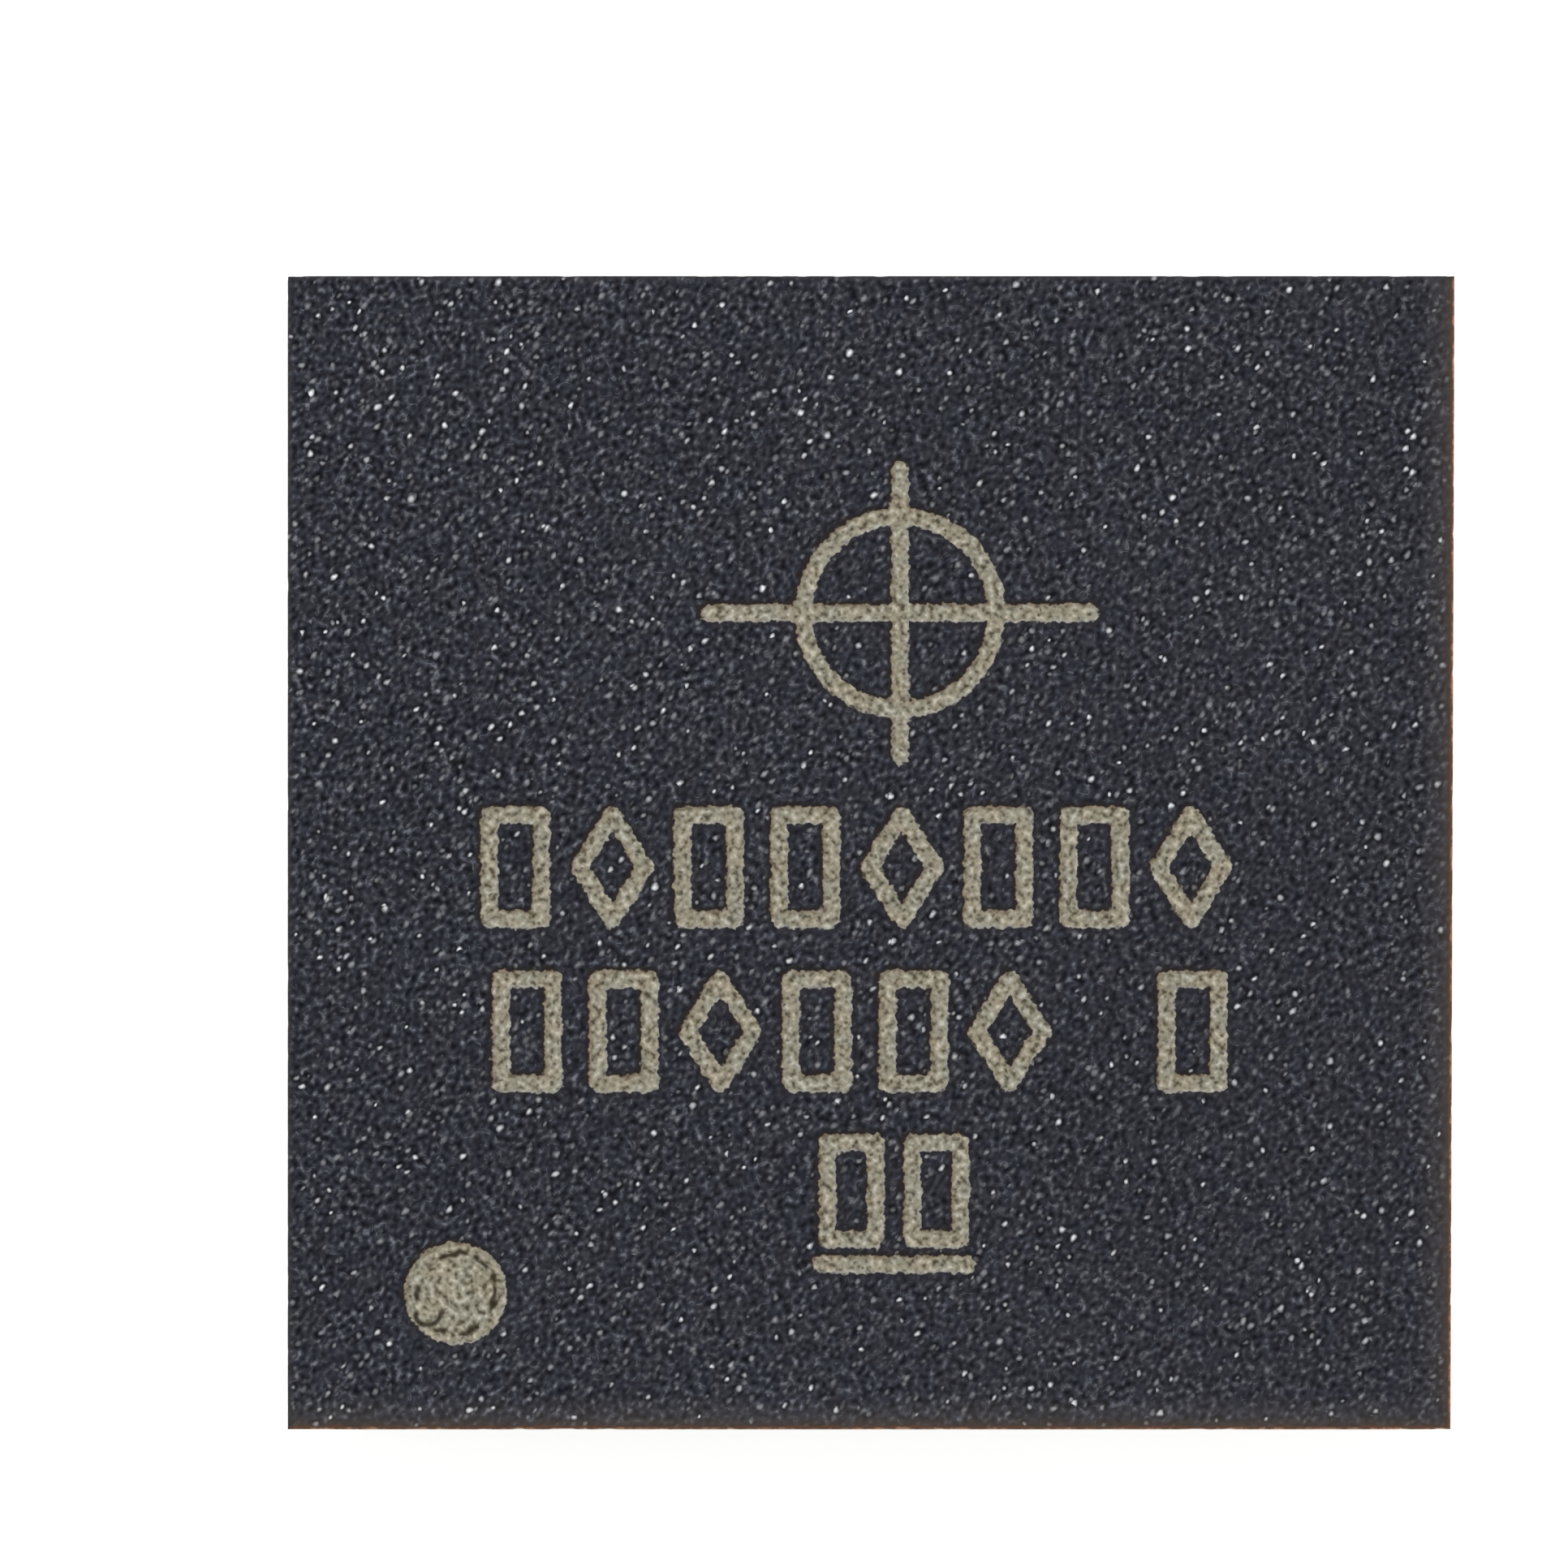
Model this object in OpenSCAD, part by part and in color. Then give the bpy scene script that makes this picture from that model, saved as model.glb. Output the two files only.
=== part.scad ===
// Wire-bonded ball grid array package, 6 mm class, with staggered rows of balls.
// Origin: centre of the package on the plane that the ball tips stand on.
// +Z points to the moulded top. Ball A1 and the pin 1 dot are at -X -Y.
// All lengths in millimetres.

/* [Package] */
// Body length along X
body_x = 6.04; // [5.98:0.01:6.10]
// Body width along Y
body_y = 5.97; // [5.94:0.01:6.10]
// Height from the ball tips to the top of the mould
total_h = 0.92; // [0.86:0.01:1.00]

/* [Ball grid] */
// Rows of balls, counted along X
rows = 13; // [11:2:13]
// Balls in each row, counted along Y
cols = 11; // [11:1:11]
// Distance between balls in a row
pitch_y = 0.5; // [0.49:0.005:0.505]
// Distance between rows
pitch_x = 0.438; // [0.433:0.001:0.44]
// Ball diameter
ball_d = 0.25; // [0.23:0.005:0.26]
// Height of the underside above the plane the balls stand on
standoff = 0.165; // [0.155:0.005:0.18]

/* [Substrate] */
// Thickness of the laminate core
core_t = 0.2; // [0.15:0.01:0.24]
// Thickness of each copper layer
copper_t = 0.018; // [0.012:0.001:0.025]
// Thickness of the solder mask over copper
mask_t = 0.02; // [0.015:0.001:0.025]
// Bare laminate border outside the bottom copper
border = 0.13; // [0.12:0.005:0.14]
// How much lower the mask lies on the border than on the copper
border_step = 0.012; // [0.006:0.001:0.015]
// Width of the splits between copper areas
split_w = 0.03; // [0.02:0.005:0.04]
// Diameter of the separate ball pads
pad_d = 0.27; // [0.255:0.005:0.28]
// Diameter of the clearance round a separate pad
clear_d = 0.33; // [0.31:0.005:0.34]
// Diameter of the filled vias
via_d = 0.1; // [0.08:0.01:0.12]
// Legs of the pin 1 triangle in the bottom copper
corner_leg = 0.28; // [0.24:0.01:0.29]

/* [Die and wires] */
// Side of the square die
die_side = 2.5; // [2.4:0.05:2.6]
// Thickness of the die
die_t = 0.13; // [0.1:0.01:0.15]
// Thickness of the die attach film
attach_t = 0.02; // [0.015:0.001:0.03]
// Diameter of the gold wire
wire_d = 0.02; // [0.018:0.001:0.025]
// Height of the wire loop over the die
loop_h = 0.09; // [0.07:0.005:0.12]

/* [Laser marks] */
// Depth of the marks in the mould top
mark_depth = 0.012; // [0.005:0.001:0.02]
// Width of a marked stroke
stroke_w = 0.09; // [0.08:0.005:0.1]
// Diameter of the pin 1 dot
dot_d = 0.53; // [0.45:0.01:0.55]
// Distance of the pin 1 dot from the package centre, along X and along Y
dot_at = [2.15, 2.28]; // [2.0:0.01:2.3]

/* [Hidden] */
$fn = 48;

// heights, from the ball tips up
ball_r = ball_d / 2;
z_pad = standoff + mask_t;
z_core = z_pad + copper_t;
z_cu = z_core + core_t;
z_cu_top = z_cu + copper_t;
z_mould = z_cu_top + mask_t;
z_die = z_mould + attach_t;
z_die_top = z_die + die_t;

// the mask opening is as wide as the ball where the ball passes the mask face
open_r = sqrt(pow(ball_r, 2) - pow(standoff - ball_r, 2));

// outline of the bottom copper
cu_x = body_x / 2 - border;
cu_y = body_y / 2 - border;

// plan of the top side: each length is measured from the package centre
die_half = die_side / 2;
pad_line = die_half - 0.1;
paddle_half = 1.55;
window_in = 1.43;
window_out = 1.93;
finger_in = 1.66;
finger_out = 1.86;
finger_w = 0.09;
fan_out = 2.06;
land_r = 0.09;
trace_w = 0.03;
side_rows = [3 : rows - 4];      // rows with a finger on the two Y sides
fingers_x = 2 * cols;            // fingers on each X side
finger_pitch = 0.18;
die_pitch_x = 0.1;
die_pitch_y = 0.085;

// ball positions: even rows sit a quarter pitch to +Y, odd rows to -Y
function row_x(r) = (r - (rows - 1) / 2) * pitch_x;
function ball_y(r, k) = (k - (cols - 1) / 2) * pitch_y + (r % 2 == 0 ? 1 : -1) * pitch_y / 4;
balls = [for (r = [0 : rows - 1], k = [0 : cols - 1]) [row_x(r), ball_y(r, k), r]];

// balls in their own pad: the two rows at -X, and the outer columns of the -X half
function own_pad(b) = b[2] <= 1 || (b[2] <= (rows - 1) / 2 && abs(b[1]) > 4 * pitch_y);
pad_balls = [for (b = balls) if (own_pad(b)) b];
// balls under the die paddle, each with a via up to it
under_die = [for (b = balls)
    if (abs(b[0]) < paddle_half - land_r && abs(b[1]) < paddle_half - land_r) b];

// slot j on an X side runs from -(2 cols - 1)/2 to +(2 cols - 1)/2
function slot(i) = i - (fingers_x - 1) / 2;
// the two end rows alternate, so their lands are evenly spaced along Y
function land_x(side, i) = side * abs(row_x(i % 2 == 1 ? 0 : 1));
// on the Y sides each row has its land on the ball next to the fingers
function land_y(side, r) =
    side * (side > 0 ? (r % 2 == 0 ? 4.25 : 4.75) : (r % 2 == 0 ? 4.75 : 4.25)) * pitch_y;

power_rows = rows - 2;                       // first row on the power pours
x_split = (row_x(power_rows - 1) + row_x(power_rows)) / 2;
y_splits = [-1.625, -0.625, 0.375, 0.875];   // where the power pours part at the +X end
groove_balls = [7, 8];                       // balls of the last row with an arc cut over them

// ---- shared shapes ----
module slab(x, y, z0, z1) {
    translate([-x / 2, -y / 2, z0]) cube([x, y, z1 - z0]);
}

module disc(p, r, z0, z1) {
    translate([p[0], p[1], z0]) cylinder(r = r, h = z1 - z0);
}

// flat stroke with round ends
module stroke(p, q, w) {
    d = q - p;
    l = norm(d);
    translate(p) rotate(atan2(d[1], d[0])) translate([0, -w / 2]) square([l, w]);
    translate(p) circle(d = w);
    translate(q) circle(d = w);
}

// ---- mould ----
// stroked path through a list of points
module path(pts, closed = false) {
    n = len(pts);
    for (i = [0 : n - (closed ? 1 : 2)])
        stroke(pts[i], pts[(i + 1) % n], stroke_w);
}

module box_mark(w, h) {
    path([[-w, -h], [w, -h], [w, h], [-w, h]] / 2, closed = true);
}

module diamond_mark(w, h) {
    path([[-w, 0], [0, -h], [w, 0], [0, h]] / 2, closed = true);
}

// plain target: a ring with a cross through it
module target_mark(r, x, y) {
    difference() {
        circle(r = r + stroke_w / 2);
        circle(r = r - stroke_w / 2);
    }
    stroke([-x, 0], [x, 0], stroke_w);
    stroke([0, -y], [0, y], stroke_w);
}

module marks() {
    translate([0.15, 1.24]) target_mark(0.5, 0.99, 0.74);
    // two long lines of plain boxes and diamonds
    for (i = [0 : 7])
        translate([-1.84 + i * 0.5, -0.075])
            if (i % 3 == 1) diamond_mark(0.34, 0.54); else box_mark(0.27, 0.54);
    for (i = [0 : 6])
        translate([-1.78 + i * 0.5 + (i == 6 ? 0.45 : 0), -0.925])
            if (i % 3 == 2) diamond_mark(0.34, 0.54); else box_mark(0.27, 0.54);
    // short line: two boxes over a bar
    for (x = [-0.1, 0.34]) translate([x, -1.75]) box_mark(0.25, 0.5);
    stroke([-0.26, -2.13], [0.5, -2.13], stroke_w);
    // pin 1 dot
    translate(-dot_at) circle(d = dot_d);
}

// windows in the top mask along the four rows of fingers
module windows(z0, z1) {
    for (s = [-1, 1]) {
        translate([s > 0 ? window_in : -window_out, -1.97, z0])
            cube([window_out - window_in, 3.94, z1 - z0]);
        translate([-1.36, s > 0 ? window_in : -window_out, z0])
            cube([2.72, window_out - window_in, z1 - z0]);
    }
}

module mould_cap() {
    color("#3a3b42") difference() {
        union() {
            slab(body_x, body_y, z_mould, total_h);
            windows(z_cu, z_mould);
        }
        translate([0, 0, total_h - mark_depth]) linear_extrude(mark_depth + 1) marks();
        slab(die_side, die_side, z_mould - 0.01, z_die_top);
        top_copper();
        all_wires();
    }
}

// ---- die ----
module silicon_die() {
    color("#5d6066") slab(die_side, die_side, z_die, z_die_top);
}

module die_attach() {
    color("#b9bcc0") slab(die_side, die_side, z_mould, z_die);
}

// ---- gold wires: a ball bond on the die, one arc, and a stitch on the copper ----
// a is the ball bond and b the stitch, both in plan; lift is the crown's height over the bond.
// The arc passes through both ends and touches the level of its crown.
module wire(a, b, lift) {
    r = wire_d / 2;
    d = b - a;
    l = norm(d);
    drop = z_die_top - z_cu_top;
    low = lift + drop;
    // where the line through both ends meets the crown's level, and the touching point from it
    p = -lift * l / drop;
    t = p + sqrt(norm([p, lift]) * norm([l - p, low]));
    big = (t * t + lift * lift) / (2 * lift);
    from = atan2(big - low, l - t);
    to = atan2(big - lift, -t);
    translate([a[0], a[1], z_die_top + 0.01])
        rotate(atan2(d[1], d[0])) rotate([90, 0, 0])
            translate([t, lift - big, 0]) rotate(from)
                rotate_extrude(angle = to - from) translate([big, 0]) circle(r = r);
    disc(a, 0.025, z_die_top, z_die_top + 0.018);
    disc(b, 0.024, z_cu_top, z_cu_top + 0.018);
}

module wires_x(side) {
    for (i = [0 : fingers_x - 1])
        wire([side * pad_line, slot(i) * die_pitch_x],
             [side * (finger_in + 0.09), slot(i) * finger_pitch], loop_h);
}

module wires_y(side) {
    // a ground wire keeps to the fan of its neighbours and stops on the paddle's edge
    near = paddle_half - 0.06;
    spread = 2 * die_pitch_y + (pitch_x - 2 * die_pitch_y)
        * (near - pad_line) / (finger_in + 0.09 - pad_line);
    for (r = side_rows) {
        c = r - (rows - 1) / 2;
        wire([c * 2 * die_pitch_y, side * pad_line],
             [row_x(r), side * (finger_in + 0.09)], loop_h);
        if (r < rows - 4)
            wire([(c + 0.5) * 2 * die_pitch_y, side * pad_line],
                 [(c + 0.5) * spread, side * near], loop_h - 0.03);
    }
}

module all_wires() {
    wires_x(-1);
    wires_x(1);
    wires_y(-1);
    wires_y(1);
}

module wires_left() { color("#e3b04b") wires_x(-1); }
module wires_right() { color("#e3b04b") wires_x(1); }
module wires_front() { color("#e3b04b") wires_y(-1); }
module wires_back() { color("#e3b04b") wires_y(1); }

// ---- top copper ----
module die_paddle() {
    color("#c9803c") slab(2 * paddle_half, 2 * paddle_half, z_cu, z_cu_top);
}

// one finger with its trace and via land, in plan
module finger_x(side, i) {
    y0 = slot(i) * finger_pitch;
    y1 = slot(i) * pitch_y / 2;
    x1 = land_x(side, i);
    translate([side > 0 ? finger_in : -finger_out, y0 - finger_w / 2])
        square([finger_out - finger_in, finger_w]);
    stroke([side * finger_out, y0], [side * fan_out, y1], trace_w);
    stroke([side * fan_out, y1], [x1, y1], trace_w);
    translate([x1, y1]) circle(r = land_r);
}

module finger_y(side, r) {
    y1 = land_y(side, r);
    translate([row_x(r) - finger_w / 2, side > 0 ? finger_in : -finger_out])
        square([finger_w, finger_out - finger_in]);
    stroke([row_x(r), side * finger_out], [row_x(r), y1], trace_w);
    translate([row_x(r), y1]) circle(r = land_r);
}

module bond_fingers() {
    color("#d9a24a") translate([0, 0, z_cu]) linear_extrude(copper_t)
        for (s = [-1, 1]) {
            for (i = [0 : fingers_x - 1]) finger_x(s, i);
            for (r = side_rows) finger_y(s, r);
        }
}

module top_copper() {
    die_paddle();
    bond_fingers();
}

module top_solder_mask() {
    color("#2f6a34") difference() {
        slab(body_x, body_y, z_cu, z_mould);
        windows(z_cu - 1, z_mould + 1);
        top_copper();
    }
}

// ---- core and vias ----
module vias_at(list, z0, z1) {
    for (b = list) disc(b, via_d / 2, z0, z1);
}

function signal_list() = concat(
    [for (s = [-1, 1], i = [0 : fingers_x - 1]) [land_x(s, i), slot(i) * pitch_y / 2]],
    [for (s = [-1, 1], r = side_rows) [row_x(r), land_y(s, r)]]);

module signal_vias() { color("#c9803c") vias_at(signal_list(), z_core, z_cu); }
module ground_vias() { color("#c9803c") vias_at(under_die, z_core, z_cu); }

module substrate_core() {
    color("#7b7a45") difference() {
        slab(body_x, body_y, z_core, z_cu);
        vias_at(signal_list(), z_core - 1, z_cu + 1);
        vias_at(under_die, z_core - 1, z_cu + 1);
    }
}

// ---- bottom copper ----
module ball_pads() {
    color("#c9803c") for (b = pad_balls) disc(b, pad_d / 2, z_pad, z_core);
}

module corner_triangle(leg) {
    translate([-cu_x + 0.03, -cu_y]) polygon([[0, 0], [leg, 0], [0, leg]]);
}

module pin_1_triangle() {
    color("#b5773f") translate([0, 0, z_pad]) linear_extrude(copper_t)
        corner_triangle(corner_leg);
}

module ground_pour() {
    color("#c9803c") translate([0, 0, z_pad]) linear_extrude(copper_t) difference() {
        translate([-cu_x, -cu_y]) square([x_split - split_w / 2 + cu_x, 2 * cu_y]);
        for (b = pad_balls) translate([b[0], b[1]]) circle(d = clear_d);
        // the corner stays clear for the pin 1 triangle
        translate([-cu_x - 1, -cu_y - 1])
            polygon([[0, 0], [1.03 + corner_leg + 1.08, 0], [0, 1.03 + corner_leg + 1.08]]);
    }
}

// line between two power pours: straight past the last row, then slanted to pass the next one
function split_line(y) = [[cu_x + 0.1, y], [row_x(rows - 1) - 0.15, y],
    [row_x(rows - 2), y - pitch_y / 2], [x_split - 0.1, y - pitch_y / 2]];

module power_pours() {
    color("#c9803c") translate([0, 0, z_pad]) linear_extrude(copper_t) difference() {
        translate([x_split + split_w / 2, -cu_y])
            square([cu_x - x_split - split_w / 2, 2 * cu_y]);
        for (y = y_splits) {
            l = split_line(y);
            for (i = [0 : 2]) stroke(l[i], l[i + 1], split_w);
        }
        // arc cut over two balls of the last row
        for (k = groove_balls) translate([row_x(rows - 1), ball_y(rows - 1, k)])
            intersection() {
                difference() { circle(r = 0.205); circle(r = 0.175); }
                translate([0, -0.25]) square([0.3, 0.5]);
            }
    }
}

module bottom_copper() {
    ball_pads();
    ground_pour();
    power_pours();
}

module bottom_solder_mask() {
    color("#24592b") difference() {
        slab(body_x, body_y, standoff, z_core);
        // the border lies lower than the mask over the copper
        difference() {
            slab(body_x + 1, body_y + 1, standoff - 1, standoff + border_step);
            slab(2 * cu_x + 0.02, 2 * cu_y + 0.02, standoff - 2, z_core);
        }
        translate([0, 0, standoff - 1]) linear_extrude(2) corner_triangle(corner_leg);
        bottom_copper();
        for (b = balls) disc(b, open_r, standoff - 1, z_pad);
    }
}

// ---- solder balls: each fills its mask opening and bulges below it ----
module solder_ball() {
    rotate_extrude() union() {
        intersection() {
            translate([0, ball_r]) circle(r = ball_r);
            square([ball_d, standoff]);
        }
        translate([0, standoff]) square([open_r, z_pad - standoff]);
    }
}

module solder_balls() {
    color("#c8c8c6") for (b = balls) translate([b[0], b[1], 0]) solder_ball();
}

mould_cap();
silicon_die();
die_attach();
wires_left();
wires_right();
wires_front();
wires_back();
top_solder_mask();
die_paddle();
bond_fingers();
substrate_core();
signal_vias();
ground_vias();
ball_pads();
ground_pour();
power_pours();
pin_1_triangle();
bottom_solder_mask();
solder_balls();
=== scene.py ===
import math
import bpy
import numpy as np
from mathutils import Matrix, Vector


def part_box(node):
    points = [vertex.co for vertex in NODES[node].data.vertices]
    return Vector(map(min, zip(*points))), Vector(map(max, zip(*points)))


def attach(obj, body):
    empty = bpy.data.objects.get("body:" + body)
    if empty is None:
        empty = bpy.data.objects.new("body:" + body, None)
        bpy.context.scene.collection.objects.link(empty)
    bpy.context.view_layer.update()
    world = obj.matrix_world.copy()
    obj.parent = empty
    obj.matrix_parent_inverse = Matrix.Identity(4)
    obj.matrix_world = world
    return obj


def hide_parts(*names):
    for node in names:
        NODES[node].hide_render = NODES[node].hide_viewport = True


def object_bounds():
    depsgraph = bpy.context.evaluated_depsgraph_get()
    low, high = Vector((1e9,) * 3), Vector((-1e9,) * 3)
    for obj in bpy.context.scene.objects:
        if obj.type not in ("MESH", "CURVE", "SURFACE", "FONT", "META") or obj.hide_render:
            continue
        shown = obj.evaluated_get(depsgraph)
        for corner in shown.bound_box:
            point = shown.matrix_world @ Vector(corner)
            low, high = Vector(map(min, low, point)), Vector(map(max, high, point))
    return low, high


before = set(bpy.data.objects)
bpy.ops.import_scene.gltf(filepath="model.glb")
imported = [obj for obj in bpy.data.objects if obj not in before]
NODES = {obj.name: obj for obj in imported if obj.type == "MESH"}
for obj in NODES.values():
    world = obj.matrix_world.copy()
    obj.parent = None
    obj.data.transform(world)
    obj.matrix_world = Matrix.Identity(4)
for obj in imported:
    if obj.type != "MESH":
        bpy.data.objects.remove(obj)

CAD_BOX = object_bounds()
MM = 0.001


# ---------------------------------------------------------------- sizes, in mm, from the frame
def box_mm(node):
    lo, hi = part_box(node)
    return np.array(lo) / MM, np.array(hi) / MM


LO, HI = np.array(CAD_BOX[0]) / MM, np.array(CAD_BOX[1]) / MM
HX, HY = HI[0], HI[1]                      # half sizes of the body
Z_TOP = HI[2]
Z_MASK = box_mm("bottom_solder_mask")[0][2]   # outer face of the lower mask
Z_CORE0, Z_CORE1 = box_mm("substrate_core")[0][2], box_mm("substrate_core")[1][2]
Z_MOULD = box_mm("top_solder_mask")[1][2]
Z_PAD = box_mm("ball_pads")[0][2]
CU_LO = box_mm("ground_pour")[0]
CU_HI = box_mm("power_pours")[1]
TRI_LO, TRI_HI = box_mm("pin_1_triangle")

BALL_R = 0.125
PITCH_X, PITCH_Y, ROWS, COLS = 0.438, 0.5, 13, 11
OPEN_R = math.sqrt(BALL_R ** 2 - (Z_MASK - BALL_R) ** 2)
BALLS = [((r - (ROWS - 1) / 2) * PITCH_X,
          (k - (COLS - 1) / 2) * PITCH_Y + (0.25 if r % 2 == 0 else -0.25) * PITCH_Y, r, k)
         for r in range(ROWS) for k in range(COLS)]


def own_pad(b):
    return b[2] <= 1 or (b[2] <= (ROWS - 1) / 2 and abs(b[1]) > 4 * PITCH_Y)


# ---------------------------------------------------------------- noise for meshes
_tables = {}


def lattice(x, y, cell, seed):
    """Smooth random field in -1..1 that changes over a distance of one cell."""
    if seed not in _tables:
        _tables[seed] = np.random.default_rng(seed).uniform(-1, 1, (256, 256))
    t = _tables[seed]
    gx, gy = np.asarray(x) / cell + 64.37, np.asarray(y) / cell + 91.73
    ix, iy = np.floor(gx).astype(int), np.floor(gy).astype(int)
    fx, fy = gx - ix, gy - iy
    fx, fy = fx * fx * (3 - 2 * fx), fy * fy * (3 - 2 * fy)
    a, b = t[ix % 256, iy % 256], t[(ix + 1) % 256, iy % 256]
    c, d = t[ix % 256, (iy + 1) % 256], t[(ix + 1) % 256, (iy + 1) % 256]
    return (a * (1 - fx) + b * fx) * (1 - fy) + (c * (1 - fx) + d * fx) * fy


def fbm(x, y, cell, seed, octaves=3, gain=0.5):
    out, amp, tot = 0, 1.0, 0.0
    for i in range(octaves):
        out = out + amp * lattice(x, y, cell / 2 ** i, seed + i)
        tot += amp
        amp *= gain
    return out / tot


def smooth(e0, e1, v):
    t = np.clip((v - e0) / (e1 - e0), 0, 1)
    return t * t * (3 - 2 * t)


# ---------------------------------------------------------------- the marks, in mm
STROKE = 0.09
DOT = (-2.15, -2.28, 0.265)


def box_strokes(cx, cy, w, h):
    p = [(cx - w / 2, cy - h / 2), (cx + w / 2, cy - h / 2), (cx + w / 2, cy + h / 2), (cx - w / 2, cy + h / 2)]
    return [(p[i], p[(i + 1) % 4]) for i in range(4)]


def diamond_strokes(cx, cy, w, h):
    p = [(cx - w / 2, cy), (cx, cy - h / 2), (cx + w / 2, cy), (cx, cy + h / 2)]
    return [(p[i], p[(i + 1) % 4]) for i in range(4)]


STROKES = [((-0.84, 1.24), (1.14, 1.24)), ((0.15, 0.5), (0.15, 1.98)), ((-0.26, -2.13), (0.5, -2.13))]
RINGS = [(0.15, 1.24, 0.5)]
for i in range(8):
    f, w = (diamond_strokes, 0.34) if i % 3 == 1 else (box_strokes, 0.27)
    STROKES += f(-1.84 + i * 0.5, -0.075, w, 0.54)
for i in range(7):
    f, w = (diamond_strokes, 0.34) if i % 3 == 2 else (box_strokes, 0.27)
    STROKES += f(-1.78 + i * 0.5 + (0.45 if i == 6 else 0), -0.925, w, 0.54)
for x in (-0.1, 0.34):
    STROKES += box_strokes(x, -1.75, 0.25, 0.5)


def marks_distance(x, y):
    """Signed distance to the edge of the marks: negative inside a stroke."""
    d = np.hypot(x - DOT[0], y - DOT[1]) - DOT[2]
    for cx, cy, r in RINGS:
        d = np.minimum(d, np.abs(np.hypot(x - cx, y - cy) - r) - STROKE / 2)
    for (ax, ay), (bx, by) in STROKES:
        ux, uy = bx - ax, by - ay
        t = np.clip(((x - ax) * ux + (y - ay) * uy) / (ux * ux + uy * uy), 0, 1)
        d = np.minimum(d, np.hypot(x - ax - t * ux, y - ay - t * uy) - STROKE / 2)
    return d


# ---------------------------------------------------------------- mesh helpers
def warp(x, y):
    """The +X side was sawn a little out of square: the body is narrower at -Y."""
    return x - 0.021 * np.clip(x, 0, None) / HX * (HY - y) / (2 * HY), y


def make(name, verts_mm, faces, body="root", smooth_shade=True):
    me = bpy.data.meshes.new(name)
    v = np.asarray(verts_mm, dtype=float) * MM
    me.from_pydata([tuple(p) for p in v], [], faces)
    me.validate()
    me.update()
    if smooth_shade:
        me.shade_smooth()
    ob = bpy.data.objects.new(name, me)
    bpy.context.scene.collection.objects.link(ob)
    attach(ob, body)
    return ob


def point_attr(ob, name, values):
    a = ob.data.attributes.new(name, "FLOAT", "POINT")
    a.data.foreach_set("value", np.asarray(values, dtype=np.float32))


def loop_xy(xs, ys):
    """Border points of a grid, anticlockwise, as (i, j) index pairs."""
    nx, ny = len(xs), len(ys)
    return ([(i, 0) for i in range(nx)] + [(nx - 1, j) for j in range(1, ny)]
            + [(i, ny - 1) for i in range(nx - 2, -1, -1)] + [(0, j) for j in range(ny - 2, 0, -1)])


def side_points(xs, ys, z, push):
    """A ring of points round the body at height z, each pushed in by push(s, z) mm. s runs along the side."""
    ring = loop_xy(xs, ys)
    p = np.array([(xs[i], ys[j]) for i, j in ring])
    s = np.concatenate([[0], np.cumsum(np.hypot(*np.diff(p, axis=0).T))])
    d = push(s, np.full(len(p), z))
    onx = np.isclose(np.abs(p[:, 0]), HX)
    ony = np.isclose(np.abs(p[:, 1]), HY)
    x = p[:, 0] - np.sign(p[:, 0]) * d * onx
    y = p[:, 1] - np.sign(p[:, 1]) * d * ony
    x, y = warp(x, y)
    return np.stack([x, y, np.full(len(p), z)], 1), s


def saw(depth, seed):
    """Streaks left by the saw: long along the cut, short across it, with a few deeper scratches."""
    def push(s, z):
        fine = 0.5 + 0.5 * fbm(s * 0.12, z, 0.045, seed, 3)
        wave = 0.5 + 0.5 * fbm(s, z, 0.5, seed + 7, 2)
        grain = 0.5 + 0.5 * lattice(s, z, 0.04, seed + 11)
        return depth * (0.5 * fine + 0.2 * wave + 0.3 * grain)
    return push


def slab(name, z0, z1, nz, depth, seed, step=0.03):
    """A closed plate with sawn sides, flat above and below."""
    xs, ys = np.linspace(-HX, HX, int(2 * HX / step)), np.linspace(-HY, HY, int(2 * HY / step))
    zs = np.linspace(z1, z0, nz)
    rings = [side_points(xs, ys, z, saw(depth, seed))[0] for z in zs]
    n = len(rings[0])
    faces = []
    for k in range(nz - 1):
        for i in range(n):
            j = (i + 1) % n
            faces.append((k * n + i, (k + 1) * n + i, (k + 1) * n + j, k * n + j))
    faces.append(tuple(range(n)))
    faces.append(tuple(range(nz * n - 1, (nz - 1) * n - 1, -1)))
    return make(name, np.concatenate(rings), faces, smooth_shade=False)


# ---------------------------------------------------------------- node helpers
def new_mat(name):
    m = bpy.data.materials.new(name)
    m.use_nodes = True
    nt = m.node_tree
    nt.nodes.clear()
    out = nt.nodes.new("ShaderNodeOutputMaterial")
    bsdf = nt.nodes.new("ShaderNodeBsdfPrincipled")
    nt.links.new(bsdf.outputs[0], out.inputs[0])
    return m, nt, bsdf


def put(nt, sock, v):
    if isinstance(v, bpy.types.NodeSocket):
        nt.links.new(v, sock)
    else:
        sock.default_value = v


def add(nt, kind, inputs=None, **props):
    n = nt.nodes.new(kind)
    for k, v in props.items():
        setattr(n, k, v)
    for k, v in (inputs or {}).items():
        put(nt, n.inputs[k], v)
    return n


def m(nt, op, a, b=0.0, c=0.0, clamp=False):
    n = nt.nodes.new("ShaderNodeMath")
    n.operation, n.use_clamp = op, clamp
    for i, v in enumerate((a, b, c)):
        put(nt, n.inputs[i], v)
    return n.outputs[0]


def remap(nt, v, a, b, c=0.0, d=1.0, kind="SMOOTHSTEP"):
    n = add(nt, "ShaderNodeMapRange", interpolation_type=kind)
    for k, x in zip(("Value", "From Min", "From Max", "To Min", "To Max"), (v, a, b, c, d)):
        put(nt, n.inputs[k], x)
    return n.outputs[0]


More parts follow.
